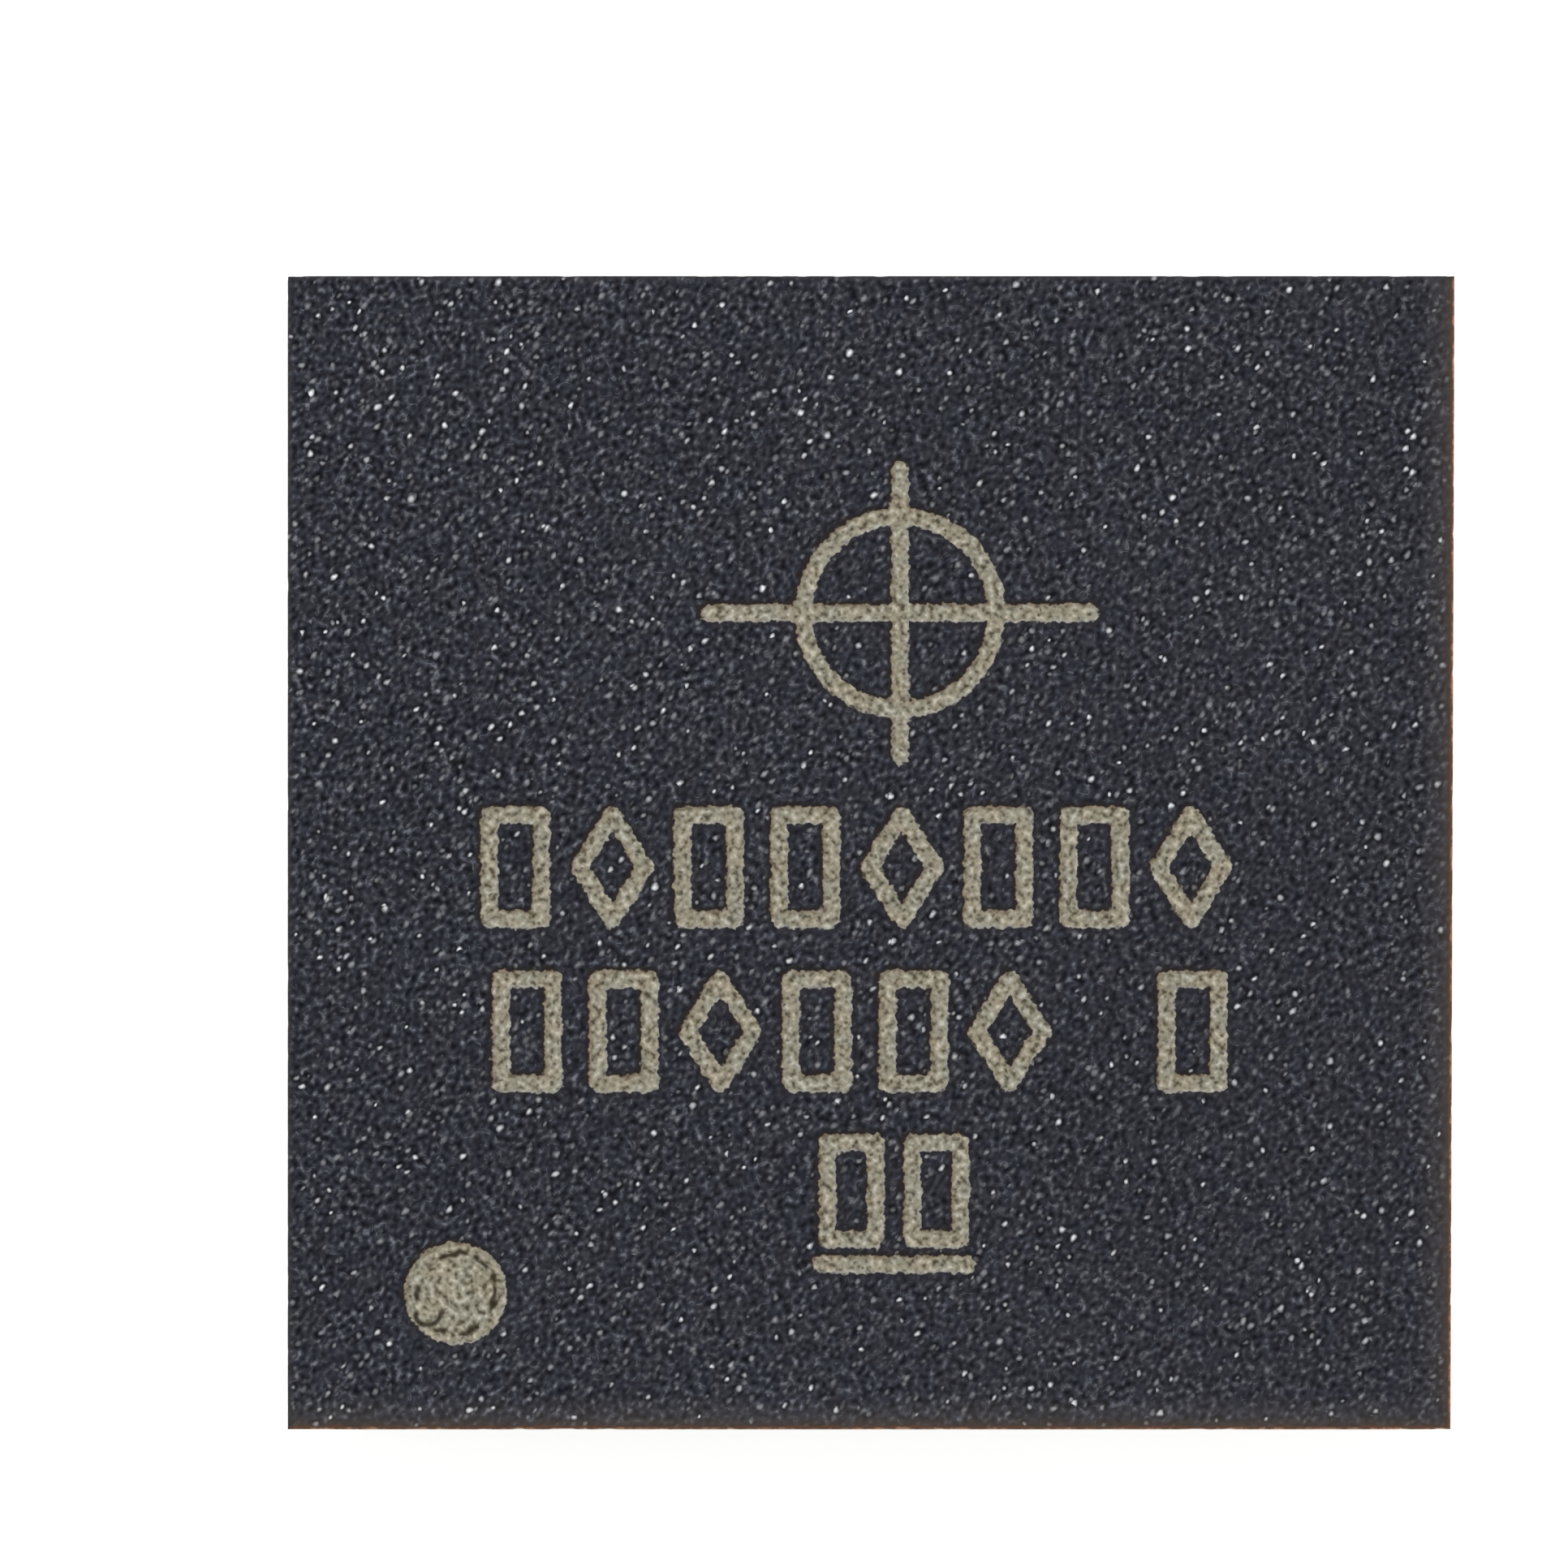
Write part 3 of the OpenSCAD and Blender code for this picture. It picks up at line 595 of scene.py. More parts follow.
def core_material():
    """Sawn edge of woven glass laminate: two plies, each a long thread that weaves past the cut ends of the others."""
    mt, nt, b = new_mat("laminate_edge")
    p = coords(nt)
    xyz = split(nt, p)
    along = m(nt, "ADD", xyz[0], xyz[1])                      # one of the two is fixed on each side
    along = m(nt, "MULTIPLY_ADD", noise(nt, p, 1.7, 2, 0.55), 0.34, along)
    sag = m(nt, "MULTIPLY", m(nt, "SUBTRACT", noise(nt, coords(nt, shift=(3.3, 3.3, 0)), 2.2, 1, 0.5), 0.5), 0.02)
    fine = noise(nt, p, 30, 3, 0.6)
    fibre = noise(nt, coords(nt, 1.2, 1.2, 75.0), 2.0, 2, 0.65)
    dots = cells(nt, p, 85, "3D")
    resin = mix(nt, remap(nt, fine, 0.35, 0.65), rgb(76, 69, 36), rgb(98, 90, 52))
    base = resin
    height = m(nt, "MULTIPLY", fine, 0.5)
    swing = remap(nt, noise(nt, coords(nt, shift=(8.1, 1.3, 0)), 0.9, 1, 0.5), 0.3, 0.7, 0.55, 1.1, "LINEAR")
    for place, pitch, start in ((0.27, 0.25, 0.0), (0.74, 0.28, 0.4)):
        zc = Z_CORE0 + place * (Z_CORE1 - Z_CORE0)
        q = m(nt, "MULTIPLY_ADD", along, 1 / pitch, start + 40)
        wave = m(nt, "MULTIPLY", m(nt, "SINE", m(nt, "MULTIPLY", q, math.pi)), swing)
        z = m(nt, "SUBTRACT", m(nt, "ADD", xyz[2], sag), zc)
        frayed = m(nt, "MULTIPLY_ADD", m(nt, "SUBTRACT", fibre, 0.5), 0.010, z)
        weft = remap(nt, m(nt, "ABSOLUTE", m(nt, "MULTIPLY_ADD", wave, -0.009, frayed)), 0.019, 0.009)
        u = m(nt, "MULTIPLY", m(nt, "SUBTRACT", m(nt, "FRACT", q), 0.5), pitch / 0.115)
        v = m(nt, "MULTIPLY", m(nt, "MULTIPLY_ADD", wave, 0.017, z), 1 / 0.019)
        ell = m(nt, "SQRT", m(nt, "MULTIPLY_ADD", u, u, m(nt, "MULTIPLY", v, v)))
        warp_end = remap(nt, m(nt, "MULTIPLY_ADD", m(nt, "SUBTRACT", fine, 0.5), 0.6, ell), 1.15, 0.75)
        thread = mix(nt, remap(nt, fibre, 0.38, 0.62), rgb(90, 84, 51), rgb(124, 119, 84))
        ends = mix(nt, remap(nt, dots.outputs["Distance"], 0.55, 0.15), rgb(82, 76, 43), rgb(126, 119, 82))
        base = mix(nt, warp_end, base, ends)
        base = mix(nt, m(nt, "MULTIPLY", weft, 0.9), base, thread)
        height = m(nt, "MULTIPLY_ADD", m(nt, "MAXIMUM", weft, warp_end), 0.5, height)
    dirt = noise(nt, coords(nt, 1, 1, 3), 2.3, 3, 0.6)
    base = mix(nt, m(nt, "MULTIPLY", remap(nt, dirt, 0.5, 0.72), 0.6), base, rgb(62, 56, 32))
    nt.links.new(base, b.inputs["Base Color"])
    nt.links.new(remap(nt, fibre, 0.3, 0.7, 0.45, 0.7, "LINEAR"), b.inputs["Roughness"])
    b.inputs["Specular IOR Level"].default_value = 0.3
    bump(nt, b, m(nt, "MULTIPLY_ADD", fibre, 0.5, height), 0.004, 0.8)
    return mt


def solder_material():
    """Frozen solder: satin, with painted highlights on the humps, broad grey patches, a few dark pits, a painted
    reflection of the dark mask on the upper flank and a painted warm reflection of the copper at the mask.
    """
    mt, nt, b = new_mat("solder")
    p = coords(nt)
    xyz = split(nt, p)
    g = noise(nt, p, 20, 3, 0.55, 0.6)
    w = noise(nt, p, 8, 1.5, 0.5, 0.3)
    base = mix(nt, remap(nt, g, 0.32, 0.68), rgb(206, 205, 202), rgb(238, 238, 235))
    base = mix(nt, remap(nt, w, 0.54, 0.40), base, mix(nt, remap(nt, g, 0.32, 0.68), rgb(158, 156, 153), rgb(184, 182, 179)))
    base = mix(nt, m(nt, "MULTIPLY", remap(nt, w, 0.40, 0.30), 0.8), base, rgb(134, 131, 128))
    # a dark pit here and there
    pits = cells(nt, coords(nt, shift=(8.3, 1.9, 5.2)), 12, "3D")
    psep = nt.nodes.new("ShaderNodeSeparateColor")
    nt.links.new(pits.outputs["Color"], psep.inputs[0])
    pit = m(nt, "MULTIPLY_ADD", m(nt, "SUBTRACT", g, 0.5), 0.5, pits.outputs["Distance"])
    pit = m(nt, "MULTIPLY", remap(nt, pit, 0.24, 0.12), m(nt, "LESS_THAN", psep.outputs[0], 0.22))
    base = mix(nt, m(nt, "MULTIPLY", pit, 0.85), base, rgb(88, 84, 80))
    # painted highlights on the humps, and from the stored glint on each nub
    bent = add(nt, "ShaderNodeVectorMath", operation="MULTIPLY_ADD")
    nt.links.new(noise(nt, p, 12, 1, out=1), bent.inputs[0])
    bent.inputs[1].default_value = (0.06,) * 3
    nt.links.new(coords(nt, shift=(2.7, 6.1, 4.4)), bent.inputs[2])
    hump = cells(nt, bent.outputs[0], 11, "3D")
    dark_reflection = remap(nt, m(nt, "MULTIPLY_ADD", m(nt, "SUBTRACT", w, 0.5), 0.05, xyz[2]), 0.082, 0.140)
    top = remap(nt, m(nt, "MULTIPLY_ADD", g, 0.25, hump.outputs["Distance"]), 0.48, 0.28)
    top = m(nt, "MULTIPLY", top, m(nt, "SUBTRACT", 1.0, m(nt, "MULTIPLY", dark_reflection, 0.85)))
    top = m(nt, "MAXIMUM", top, add(nt, "ShaderNodeAttribute", attribute_name="glint").outputs["Fac"])
    # painted reflection of the dark mask: the upper flank darker
    base = mix(nt, m(nt, "MULTIPLY", dark_reflection, 0.8), base, mix(nt, remap(nt, g, 0.32, 0.68), rgb(98, 97, 95), rgb(134, 133, 130)))
    base = mix(nt, top, base, rgb(253, 253, 252))
    # painted reflection of the copper: a warm band at the mask
    neck = remap(nt, m(nt, "MULTIPLY_ADD", g, 0.02, xyz[2]), Z_MASK - 0.028, Z_MASK + 0.004)
    base = mix(nt, m(nt, "MULTIPLY", neck, 0.6), base, rgb(146, 104, 82))
    nt.links.new(base, b.inputs["Base Color"])
    b.inputs["Metallic"].default_value = 0.5
    nt.links.new(m(nt, "MULTIPLY_ADD", top, -0.10, remap(nt, w, 0.3, 0.7, 0.50, 0.34, "LINEAR")), b.inputs["Roughness"])
    bump(nt, b, m(nt, "MULTIPLY_ADD", pit, -1.0, m(nt, "MULTIPLY_ADD", top, 0.5, g)), 0.004, 0.6)
    return mt


def bare_copper_material():
    """Bare corner of the copper: dull and brown, with one bright strip between two dark lines along its -X edge."""
    mt, nt, b = new_mat("bare_copper")
    p = coords(nt)
    xyz = split(nt, p)
    g = noise(nt, p, 30, 3, 0.6, 0.4)
    w = noise(nt, p, 9, 2, 0.5)
    base = mix(nt, remap(nt, g, 0.35, 0.65), rgb(84, 62, 50), rgb(106, 78, 62))
    base = mix(nt, remap(nt, w, 0.5, 0.7), base, rgb(122, 92, 68))
    dx = m(nt, "SUBTRACT", xyz[0], float(TRI_LO[0]))
    dx = m(nt, "MULTIPLY_ADD", m(nt, "SUBTRACT", w, 0.5), 0.006, dx)
    slope = m(nt, "SUBTRACT", m(nt, "ADD", dx, m(nt, "SUBTRACT", xyz[1], float(TRI_LO[1]))), float(TRI_HI[0] - TRI_LO[0]))
    base = mix(nt, m(nt, "MULTIPLY", remap(nt, slope, -0.026, -0.008), 0.6), base, rgb(128, 120, 106))
    dark = m(nt, "MAXIMUM", remap(nt, m(nt, "ABSOLUTE", m(nt, "SUBTRACT", dx, 0.046)), 0.011, 0.005), remap(nt, dx, 0.010, 0.005))
    base = mix(nt, m(nt, "MULTIPLY", dark, 0.9), base, rgb(26, 18, 10))
    strip = remap(nt, m(nt, "ABSOLUTE", m(nt, "SUBTRACT", dx, 0.023)), 0.014, 0.009)
    base = mix(nt, strip, base, mix(nt, remap(nt, w, 0.4, 0.6), rgb(176, 156, 112), rgb(232, 196, 160)))
    nt.links.new(base, b.inputs["Base Color"])
    b.inputs["Metallic"].default_value = 0.8
    nt.links.new(remap(nt, g, 0.3, 0.7, 0.38, 0.6, "LINEAR"), b.inputs["Roughness"])
    bump(nt, b, m(nt, "MULTIPLY_ADD", strip, 0.6, g), 0.003, 0.7)
    return mt


def metal_material(name, c0, c1, r0, r1, scale=12):
    mt, nt, b = new_mat(name)
    p = coords(nt)
    g = noise(nt, p, scale, 3, 0.6)
    nt.links.new(mix(nt, remap(nt, g, 0.35, 0.65), c0, c1), b.inputs["Base Color"])
    b.inputs["Metallic"].default_value = 1.0
    nt.links.new(remap(nt, g, 0.3, 0.7, r0, r1, "LINEAR"), b.inputs["Roughness"])
    bump(nt, b, noise(nt, p, scale * 3, 2, 0.6), 0.002, 0.5)
    return mt


def plain_material(name, c0, c1, r0, r1, scale=10, level=0.5):
    mt, nt, b = new_mat(name)
    p = coords(nt)
    g = noise(nt, p, scale, 3, 0.6)
    nt.links.new(mix(nt, remap(nt, g, 0.35, 0.65), c0, c1), b.inputs["Base Color"])
    nt.links.new(remap(nt, g, 0.3, 0.7, r0, r1, "LINEAR"), b.inputs["Roughness"])
    b.inputs["Specular IOR Level"].default_value = level
    bump(nt, b, noise(nt, p, scale * 3, 2, 0.6), 0.002, 0.5)
    return mt


# ---------------------------------------------------------------- mould cap
def build_mould():
    edge = 0.01
    nx, ny = 288, 285
    xs = np.concatenate([[-HX], np.linspace(-HX + edge, HX - edge, nx), [HX]])
    ys = np.concatenate([[-HY], np.linspace(-HY + edge, HY - edge, ny), [HY]])
    nx, ny = len(xs), len(ys)
    X, Y = np.meshgrid(xs, ys, indexing="ij")
    d = marks_distance(X, Y) + 0.005 * fbm(X, Y, 0.035, 31, 2)
    rec = smooth(0.010, -0.012, d)
    grain = 0.5 + 0.5 * fbm(X, Y, 0.05, 11, 2)
    depth = 0.0035 * grain + rec * (0.0095 + 0.0025 * lattice(X, Y, 0.045, 41))
    # chipped, slightly rounded border
    border = np.zeros_like(X, dtype=bool)
    border[0, :] = border[-1, :] = border[:, 0] = border[:, -1] = True
    Z = Z_TOP - depth
    Z[border] -= 0.006
    ring = loop_xy(xs, ys)
    idx = {ij: n for n, ij in enumerate(ring)}
    bx = np.array([xs[i] for i, j in ring])
    by = np.array([ys[j] for i, j in ring])
    chip = 0.004 * smooth(0.1, 0.9, fbm(bx + by * 0.7, by - bx * 0.3, 0.09, 51, 3)) + 0.0015
    Xp, Yp = X.copy(), Y.copy()
    for n, (i, j) in enumerate(ring):
        if i in (0, nx - 1):
            Xp[i, j] -= np.sign(X[i, j]) * chip[n]
        if j in (0, ny - 1):
            Yp[i, j] -= np.sign(Y[i, j]) * chip[n]
    Wx, Wy = warp(Xp, Yp)
    verts = [np.stack([Wx, Wy, Z], -1).reshape(-1, 3)]
    vid = np.arange(nx * ny).reshape(nx, ny)
    quads = np.stack([vid[:-1, :-1], vid[1:, :-1], vid[1:, 1:], vid[:-1, 1:]], -1).reshape(-1, 4)
    faces = [tuple(q) for q in quads.tolist()]
    top_n = len(faces)
    # sides
    zs = np.linspace(Z_TOP - 0.03, Z_MOULD, 9)
    start = nx * ny
    prev = [int(vid[i, j]) for i, j in ring]
    n = len(ring)
    push = saw(0.006, 61)
    for z in zs:
        pts, _ = side_points(xs, ys, z, push)
        verts.append(pts)
        cur = list(range(start, start + n))
        for a in range(n):
            c = (a + 1) % n
            faces.append((prev[a], cur[a], cur[c], prev[c]))
        prev, start = cur, start + n
    faces.append(tuple(reversed(prev)))
    ob = make("mould_body", np.concatenate(verts), faces)
    me = ob.data
    me.materials.append(mould_top_material())
    me.materials.append(mould_side_material())
    mi = np.ones(len(me.polygons), dtype=np.int32)
    mi[:top_n] = 0
    me.polygons.foreach_set("material_index", mi)
    # distances for the shader
    tot = len(me.vertices)
    md = np.full(tot, 0.3)
    md[:nx * ny] = np.clip(d, -0.3, 0.3).reshape(-1)
    wd, pd = np.full(tot, 0.0), np.full(tot, 0.0)
    wd[:nx * ny] = np.minimum(HX - X, HY + Y).reshape(-1)
    pd[:nx * ny] = np.minimum(HX + X, HY - Y).reshape(-1)
    ms = np.full(tot, 0.3)
    # mark_s: the marks moved 0.014 mm towards -X +Y, for the painted shadow beside each stroke
    ms[:nx * ny] = np.clip(marks_distance(X + 0.014, Y - 0.014), -0.3, 0.3).reshape(-1)
    point_attr(ob, "mark_d", md)
    point_attr(ob, "mark_s", ms)
    point_attr(ob, "warm_d", wd)
    point_attr(ob, "pale_d", pd)
    # flat layout for baking: the top face, then the four sides as strips above it
    uv = me.uv_layers.new(name="OFBake")
    co = np.empty(tot * 3)
    me.vertices.foreach_get("co", co)
    co = co.reshape(-1, 3) / MM
    li = np.empty(len(me.loops), dtype=np.int32)
    me.loops.foreach_get("vertex_index", li)
    starts = np.empty(len(me.polygons), dtype=np.int32)
    me.polygons.foreach_get("loop_start", starts)
    counts = np.empty(len(me.polygons), dtype=np.int32)
    me.polygons.foreach_get("loop_total", counts)
    poly = np.repeat(np.arange(len(me.polygons)), counts)
    out = np.zeros((len(me.loops), 2))
    c = co[li]
    top = poly < top_n
    out[top, 0] = 0.01 + 0.84 * (c[top, 0] + HX) / (2 * HX)
    out[top, 1] = 0.01 + 0.84 * (c[top, 1] + HY) / (2 * HY)
    side = (poly >= top_n) & (poly < len(me.polygons) - 1)
    which = ((poly - top_n) % n)
    # the side a quad belongs to, from its place round the ring
    q = np.zeros(n, dtype=int)
    q[nx - 1:nx + ny - 2] = 1
    q[nx + ny - 2:2 * nx + ny - 3] = 2
    q[2 * nx + ny - 3:] = 3
    s = q[which]
    run = np.where(s % 2 == 0, (c[:, 0] + HX) / (2 * HX), (c[:, 1] + HY) / (2 * HY))
    zz = (c[:, 2] - Z_MOULD) / (Z_TOP - Z_MOULD)
    out[side, 0] = (0.01 + 0.84 * run)[side]
    out[side, 1] = (0.865 + 0.033 * s + 0.029 * zz)[side]
    bot = poly == len(me.polygons) - 1
    out[bot, 0] = 0.87 + 0.12 * (c[bot, 0] + HX) / (2 * HX)
    out[bot, 1] = 0.01 + 0.12 * (c[bot, 1] + HY) / (2 * HY)
    uv.data.foreach_set("uv", out.astype(np.float32).reshape(-1))
    me.set_sharp_from_angle(angle=math.radians(40))
    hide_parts("mould_cap")
    return ob


build_mould()

core = slab("laminate_core", Z_CORE0, Z_CORE1, 9, 0.006, 71)
core.data.materials.append(core_material())
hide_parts("substrate_core")

green = mask_material()
upper = slab("upper_mask", Z_CORE1, Z_MOULD, 3, 0.003, 81)
upper.data.materials.append(green)
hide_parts("top_solder_mask")


# ---------------------------------------------------------------- lower mask
CU_X, CU_Y = -CU_LO[0], -CU_LO[1]
ROW_X = [(r - (ROWS - 1) / 2) * PITCH_X for r in range(ROWS)]
X_SPLIT = (ROW_X[ROWS - 3] + ROW_X[ROWS - 2]) / 2
SPLITS = [((X_SPLIT, -CU_Y), (X_SPLIT, CU_Y))]
for y in (-1.625, -0.625, 0.375, 0.875):
    pts = [(CU_X, y), (ROW_X[-1] - 0.15, y), (ROW_X[-2], y - PITCH_Y / 2), (X_SPLIT, y - PITCH_Y / 2)]
    SPLITS += [(pts[i], pts[i + 1]) for i in range(3)]
RINGS_AT = [b for b in BALLS if own_pad(b)]
ARCS_AT = [b for b in BALLS if b[2] == ROWS - 1 and b[3] in (7, 8)]
RING_R, ARC_R = 0.150, 0.190


def under_features(x, y):
    """(distance inside the copper area, signed distance to the nearest split's centre line, 1 where that is a ring)."""
    inside = np.minimum(CU_X - np.abs(x), CU_Y - np.abs(y))
    best, ring = np.full(np.shape(x), 9.0), np.zeros(np.shape(x))

    def nearer(d, is_ring):
        take = np.abs(d) < np.abs(best)
        best[take] = d[take]
        ring[take] = is_ring

    for (ax, ay), (bx, by) in SPLITS:
        ux, uy = bx - ax, by - ay
        t = np.clip(((x - ax) * ux + (y - ay) * uy) / (ux * ux + uy * uy), 0, 1)
        d = np.hypot(x - ax - t * ux, y - ay - t * uy)
        nearer(np.where(ux * (y - ay) - uy * (x - ax) < 0, -d, d), 0.0)
    for bx, by, _, _ in RINGS_AT:
        nearer(np.hypot(x - bx, y - by) - RING_R, 1.0)
    for bx, by, _, _ in ARCS_AT:
        nearer(np.where(x > bx, np.hypot(x - bx, y - by) - ARC_R, 9.0), 0.0)
    return inside, best, ring


def under_height(x, y):
    """Height of the mask's outer face, and the values its material reads."""
    inside, line, ring = under_features(x, y)
    gap = np.abs(line) - 0.015
    step = smooth(-0.022, 0.022, inside)                     # 1 over copper, 0 on the border
    trench = smooth(0.014, -0.012, gap) * step
    # the mask heaps up along the copper's edge, most at -X and a little at +Y
    side = np.where(CU_X + x < 0.03, 1.0, np.where(CU_Y - y < 0.03, 0.45, 0.12))
    ridge = np.exp(-((inside + 0.004) / 0.012) ** 2)
    lip = np.exp(-((gap - 0.012) / 0.010) ** 2) * step * (1 - trench)
    wrinkle = 0.5 + 0.5 * fbm(x, y, 0.11, 201, 4, 0.6)
    crease = np.clip(1 - np.abs(fbm(x * 1.4, y * 0.8, 0.13, 221, 2)) / 0.14, 0, 1) * smooth(-0.2, 0.3, fbm(x, y, 0.6, 231, 1))
    z = Z_MASK + 0.012 * (1 - step) + 0.0095 * trench - 0.0026 * lip - 0.0018 * ridge * (0.3 + 0.7 * side)
    z = z + 0.0038 * (wrinkle - 0.45) * (0.35 + 0.65 * step) - 0.0024 * crease * step + 0.0006
    return z, {"copper": step, "inset": np.clip(0.5 + inside / 0.2, 0, 1), "line": np.clip(line, -0.06, 0.06),
               "by_line": (np.abs(line) < 0.042).astype(float), "ring": ring, "side": side}


def build_under():
    from mathutils.geometry import delaunay_2d_cdt
    seg = 28
    tx, ty, leg = TRI_LO[0], TRI_LO[1], TRI_HI[0] - TRI_LO[0]
    taken, pts = {}, []

    def offer(x, y, apart):
        """Take each point that is clear of the openings, the triangle, the sides and the points taken before."""
        x, y = np.asarray(x, dtype=float), np.asarray(y, dtype=float)
        ok = (np.abs(x) < HX - 0.012) & (np.abs(y) < HY - 0.012)
        for bx, by, _, _ in BALLS:
            ok &= np.hypot(x - bx, y - by) > OPEN_R + 0.009
        ok &= ~((x > tx - 0.009) & (y > ty - 0.009) & ((x - tx) + (y - ty) - leg < 0.012))
        for px, py in zip(x[ok].tolist(), y[ok].tolist()):
            ci, cj = int(math.floor(px / 0.03)), int(math.floor(py / 0.03))
            if any((px - qx) ** 2 + (py - qy) ** 2 < apart * apart
                   for i in (ci - 1, ci, ci + 1) for j in (cj - 1, cj, cj + 1) for qx, qy in taken.get((i, j), ())):
                continue
            taken.setdefault((ci, cj), []).append((px, py))
            pts.append((px, py))

    # rows of points along every split, ring and the copper's edge, so that each comes out as one clean line
    for off in (0.0, 0.0145, -0.0145, 0.030, -0.030):
        for (ax, ay), (bx, by) in SPLITS:
            length = math.hypot(bx - ax, by - ay)
            t = np.linspace(0, 1, int(length / 0.021) + 1)
            nx_, ny_ = -(by - ay) / length, (bx - ax) / length
            offer(ax + t * (bx - ax) + off * nx_, ay + t * (by - ay) + off * ny_, 0.0115)
        for rr, at, lo, hi in [(RING_R, RINGS_AT, 0, 2 * math.pi), (ARC_R, ARCS_AT, -math.pi / 2, math.pi / 2)]:
            r = rr + (off if off != -0.030 else -0.018)
            for bx, by, _, _ in at:
                t = np.linspace(lo, hi, int((hi - lo) * rr / 0.027), endpoint=hi < 3)
                offer(bx + r * np.cos(t), by + r * np.sin(t), 0.0105)
    for off in (-0.024, -0.008, 0.008, 0.024):
        ax, ay = CU_X - off, CU_Y - off
        tx_, ty_ = np.linspace(-ax, ax, int(2 * ax / 0.023)), np.linspace(-ay, ay, int(2 * ay / 0.023))
        for sgn in (-1, 1):
            offer(tx_, np.full(len(tx_), sgn * ay), 0.0115)
            offer(np.full(len(ty_), sgn * ax), ty_, 0.0115)
    gx, gy = np.arange(-HX + 0.02, HX, 0.031), np.arange(-HY + 0.02, HY, 0.031)
    X, Y = np.meshgrid(gx, gy, indexing="ij")
    Y = Y + 0.0155 * (np.arange(len(gx)) % 2)[:, None]
    offer(X.ravel(), Y.ravel(), 0.0195)
    loops = []                                                # closed outlines as index lists
    ox, oy = np.linspace(-HX, HX, 190), np.linspace(-HY, HY, 188)
    outline = ([(v, -HY) for v in ox] + [(HX, v) for v in oy[1:]]
               + [(v, HY) for v in ox[::-1][1:]] + [(-HX, v) for v in oy[::-1][1:-1]])

    def loop(points):
        start = len(pts)
        pts.extend((float(a), float(b)) for a, b in points)
        loops.append(list(range(start, len(pts))))
        return loops[-1]

    outer = loop(outline)
    circ = []
    for bx, by, _, _ in BALLS:
        circ.append(loop([(bx + OPEN_R * math.cos(t), by + OPEN_R * math.sin(t))
                          for t in np.arange(seg) * 2 * math.pi / seg]))
    n_leg = 12
    tri = ([(tx + leg * i / n_leg, ty) for i in range(n_leg)]
           + [(tx + leg * (1 - i / n_leg), ty + leg * i / n_leg) for i in range(n_leg)]
           + [(tx, ty + leg * (1 - i / n_leg)) for i in range(n_leg)])
    tri_loop = loop(tri)

    def triangulate(points, rings, extra=()):
        """Triangles between the outlines; every input point keeps its number."""
        edges = [(l[i], l[(i + 1) % len(l)]) for l in rings for i in range(len(l))] + list(extra)
        v, _, f, ov, _, _ = delaunay_2d_cdt([Vector(q) for q in points], edges, [], 0, 1e-7)
        assert len(v) == len(points)
        back = [o[0] for o in ov]
        arr = np.array([[points[i][0], points[i][1]] for i in range(len(points))])
        F = np.array([[back[i] for i in t] for t in f])
        c = arr[F].mean(1)
        hole = np.zeros(len(F), dtype=bool)
        for bx, by, _, _ in BALLS:
            hole |= np.hypot(c[:, 0] - bx, c[:, 1] - by) < OPEN_R * 0.985
        hole |= (c[:, 0] > tx) & (c[:, 1] > ty) & ((c[:, 0] - tx) + (c[:, 1] - ty) < leg)
        F = F[~hole]
        a, b, c3 = arr[F[:, 0]], arr[F[:, 1]], arr[F[:, 2]]
        area = (b[:, 0] - a[:, 0]) * (c3[:, 1] - a[:, 1]) - (b[:, 1] - a[:, 1]) * (c3[:, 0] - a[:, 0])
        F[area < 0] = F[area < 0][:, ::-1]
        return F[np.abs(area) > 1e-12]

    low = triangulate(pts, loops)
    P = np.array(pts)
    z, stored = under_height(P[:, 0], P[:, 1])
    push = saw(0.003, 91)
    s = np.arange(len(outer)) * 0.032
    XY = P.copy()
    on = np.array(outer)
    d = push(s, z[on])
    onx, ony = np.isclose(np.abs(P[on, 0]), HX), np.isclose(np.abs(P[on, 1]), HY)
    XY[on, 0] -= np.sign(P[on, 0]) * d * onx
    XY[on, 1] -= np.sign(P[on, 1]) * d * ony
    wx, wy = warp(XY[:, 0], XY[:, 1])
    verts = [np.stack([wx, wy, z], 1)]
    faces = [tuple(t[::-1]) for t in low.tolist()]            # the outer face looks down
    # upper side: the same outlines again, a step higher on the border than over the copper
    up_pts = [pts[i] for l in loops for i in l]
    up_loops, k = [], 0
    for l in loops:
        up_loops.append(list(range(k, k + len(l))))
        k += len(l)
    rect = [(-CU_X, -CU_Y), (CU_X, -CU_Y), (CU_X, CU_Y), (-CU_X, CU_Y)]
    # nudge the copper rectangle off the triangle's legs
    rect = [(a * 1.0005, b * 1.0005) for a, b in rect]
    r0 = len(up_pts)
    up_pts += rect
    up_loops.append(list(range(r0, r0 + 4)))
    F = triangulate(up_pts, up_loops)
    U = np.array(up_pts)
    c = U[F].mean(1)
    in_cu = (np.abs(c[:, 0]) < CU_X * 1.0005) & (np.abs(c[:, 1]) < CU_Y * 1.0005)
    base = len(P)
    # points over the border at the core, points over copper at the pads, and both for the rectangle
    zc = np.where((np.abs(U[:, 0]) < CU_X) & (np.abs(U[:, 1]) < CU_Y * 1.0004), Z_PAD, Z_CORE0)
    zc[r0:] = Z_PAD
    ux, uy = warp(U[:, 0], U[:, 1])
    verts.append(np.stack([ux, uy, zc], 1))
    twin = base + len(U)
    verts.append(np.stack([ux[r0:], uy[r0:], np.full(4, Z_CORE0)], 1))
    for t, cu in zip(F.tolist(), in_cu):
        faces.append(tuple(base + i if (cu or i < r0) else twin + i - r0 for i in t))
    for i in range(4):
        j = (i + 1) % 4
        faces.append((base + r0 + j, base + r0 + i, twin + i, twin + j))
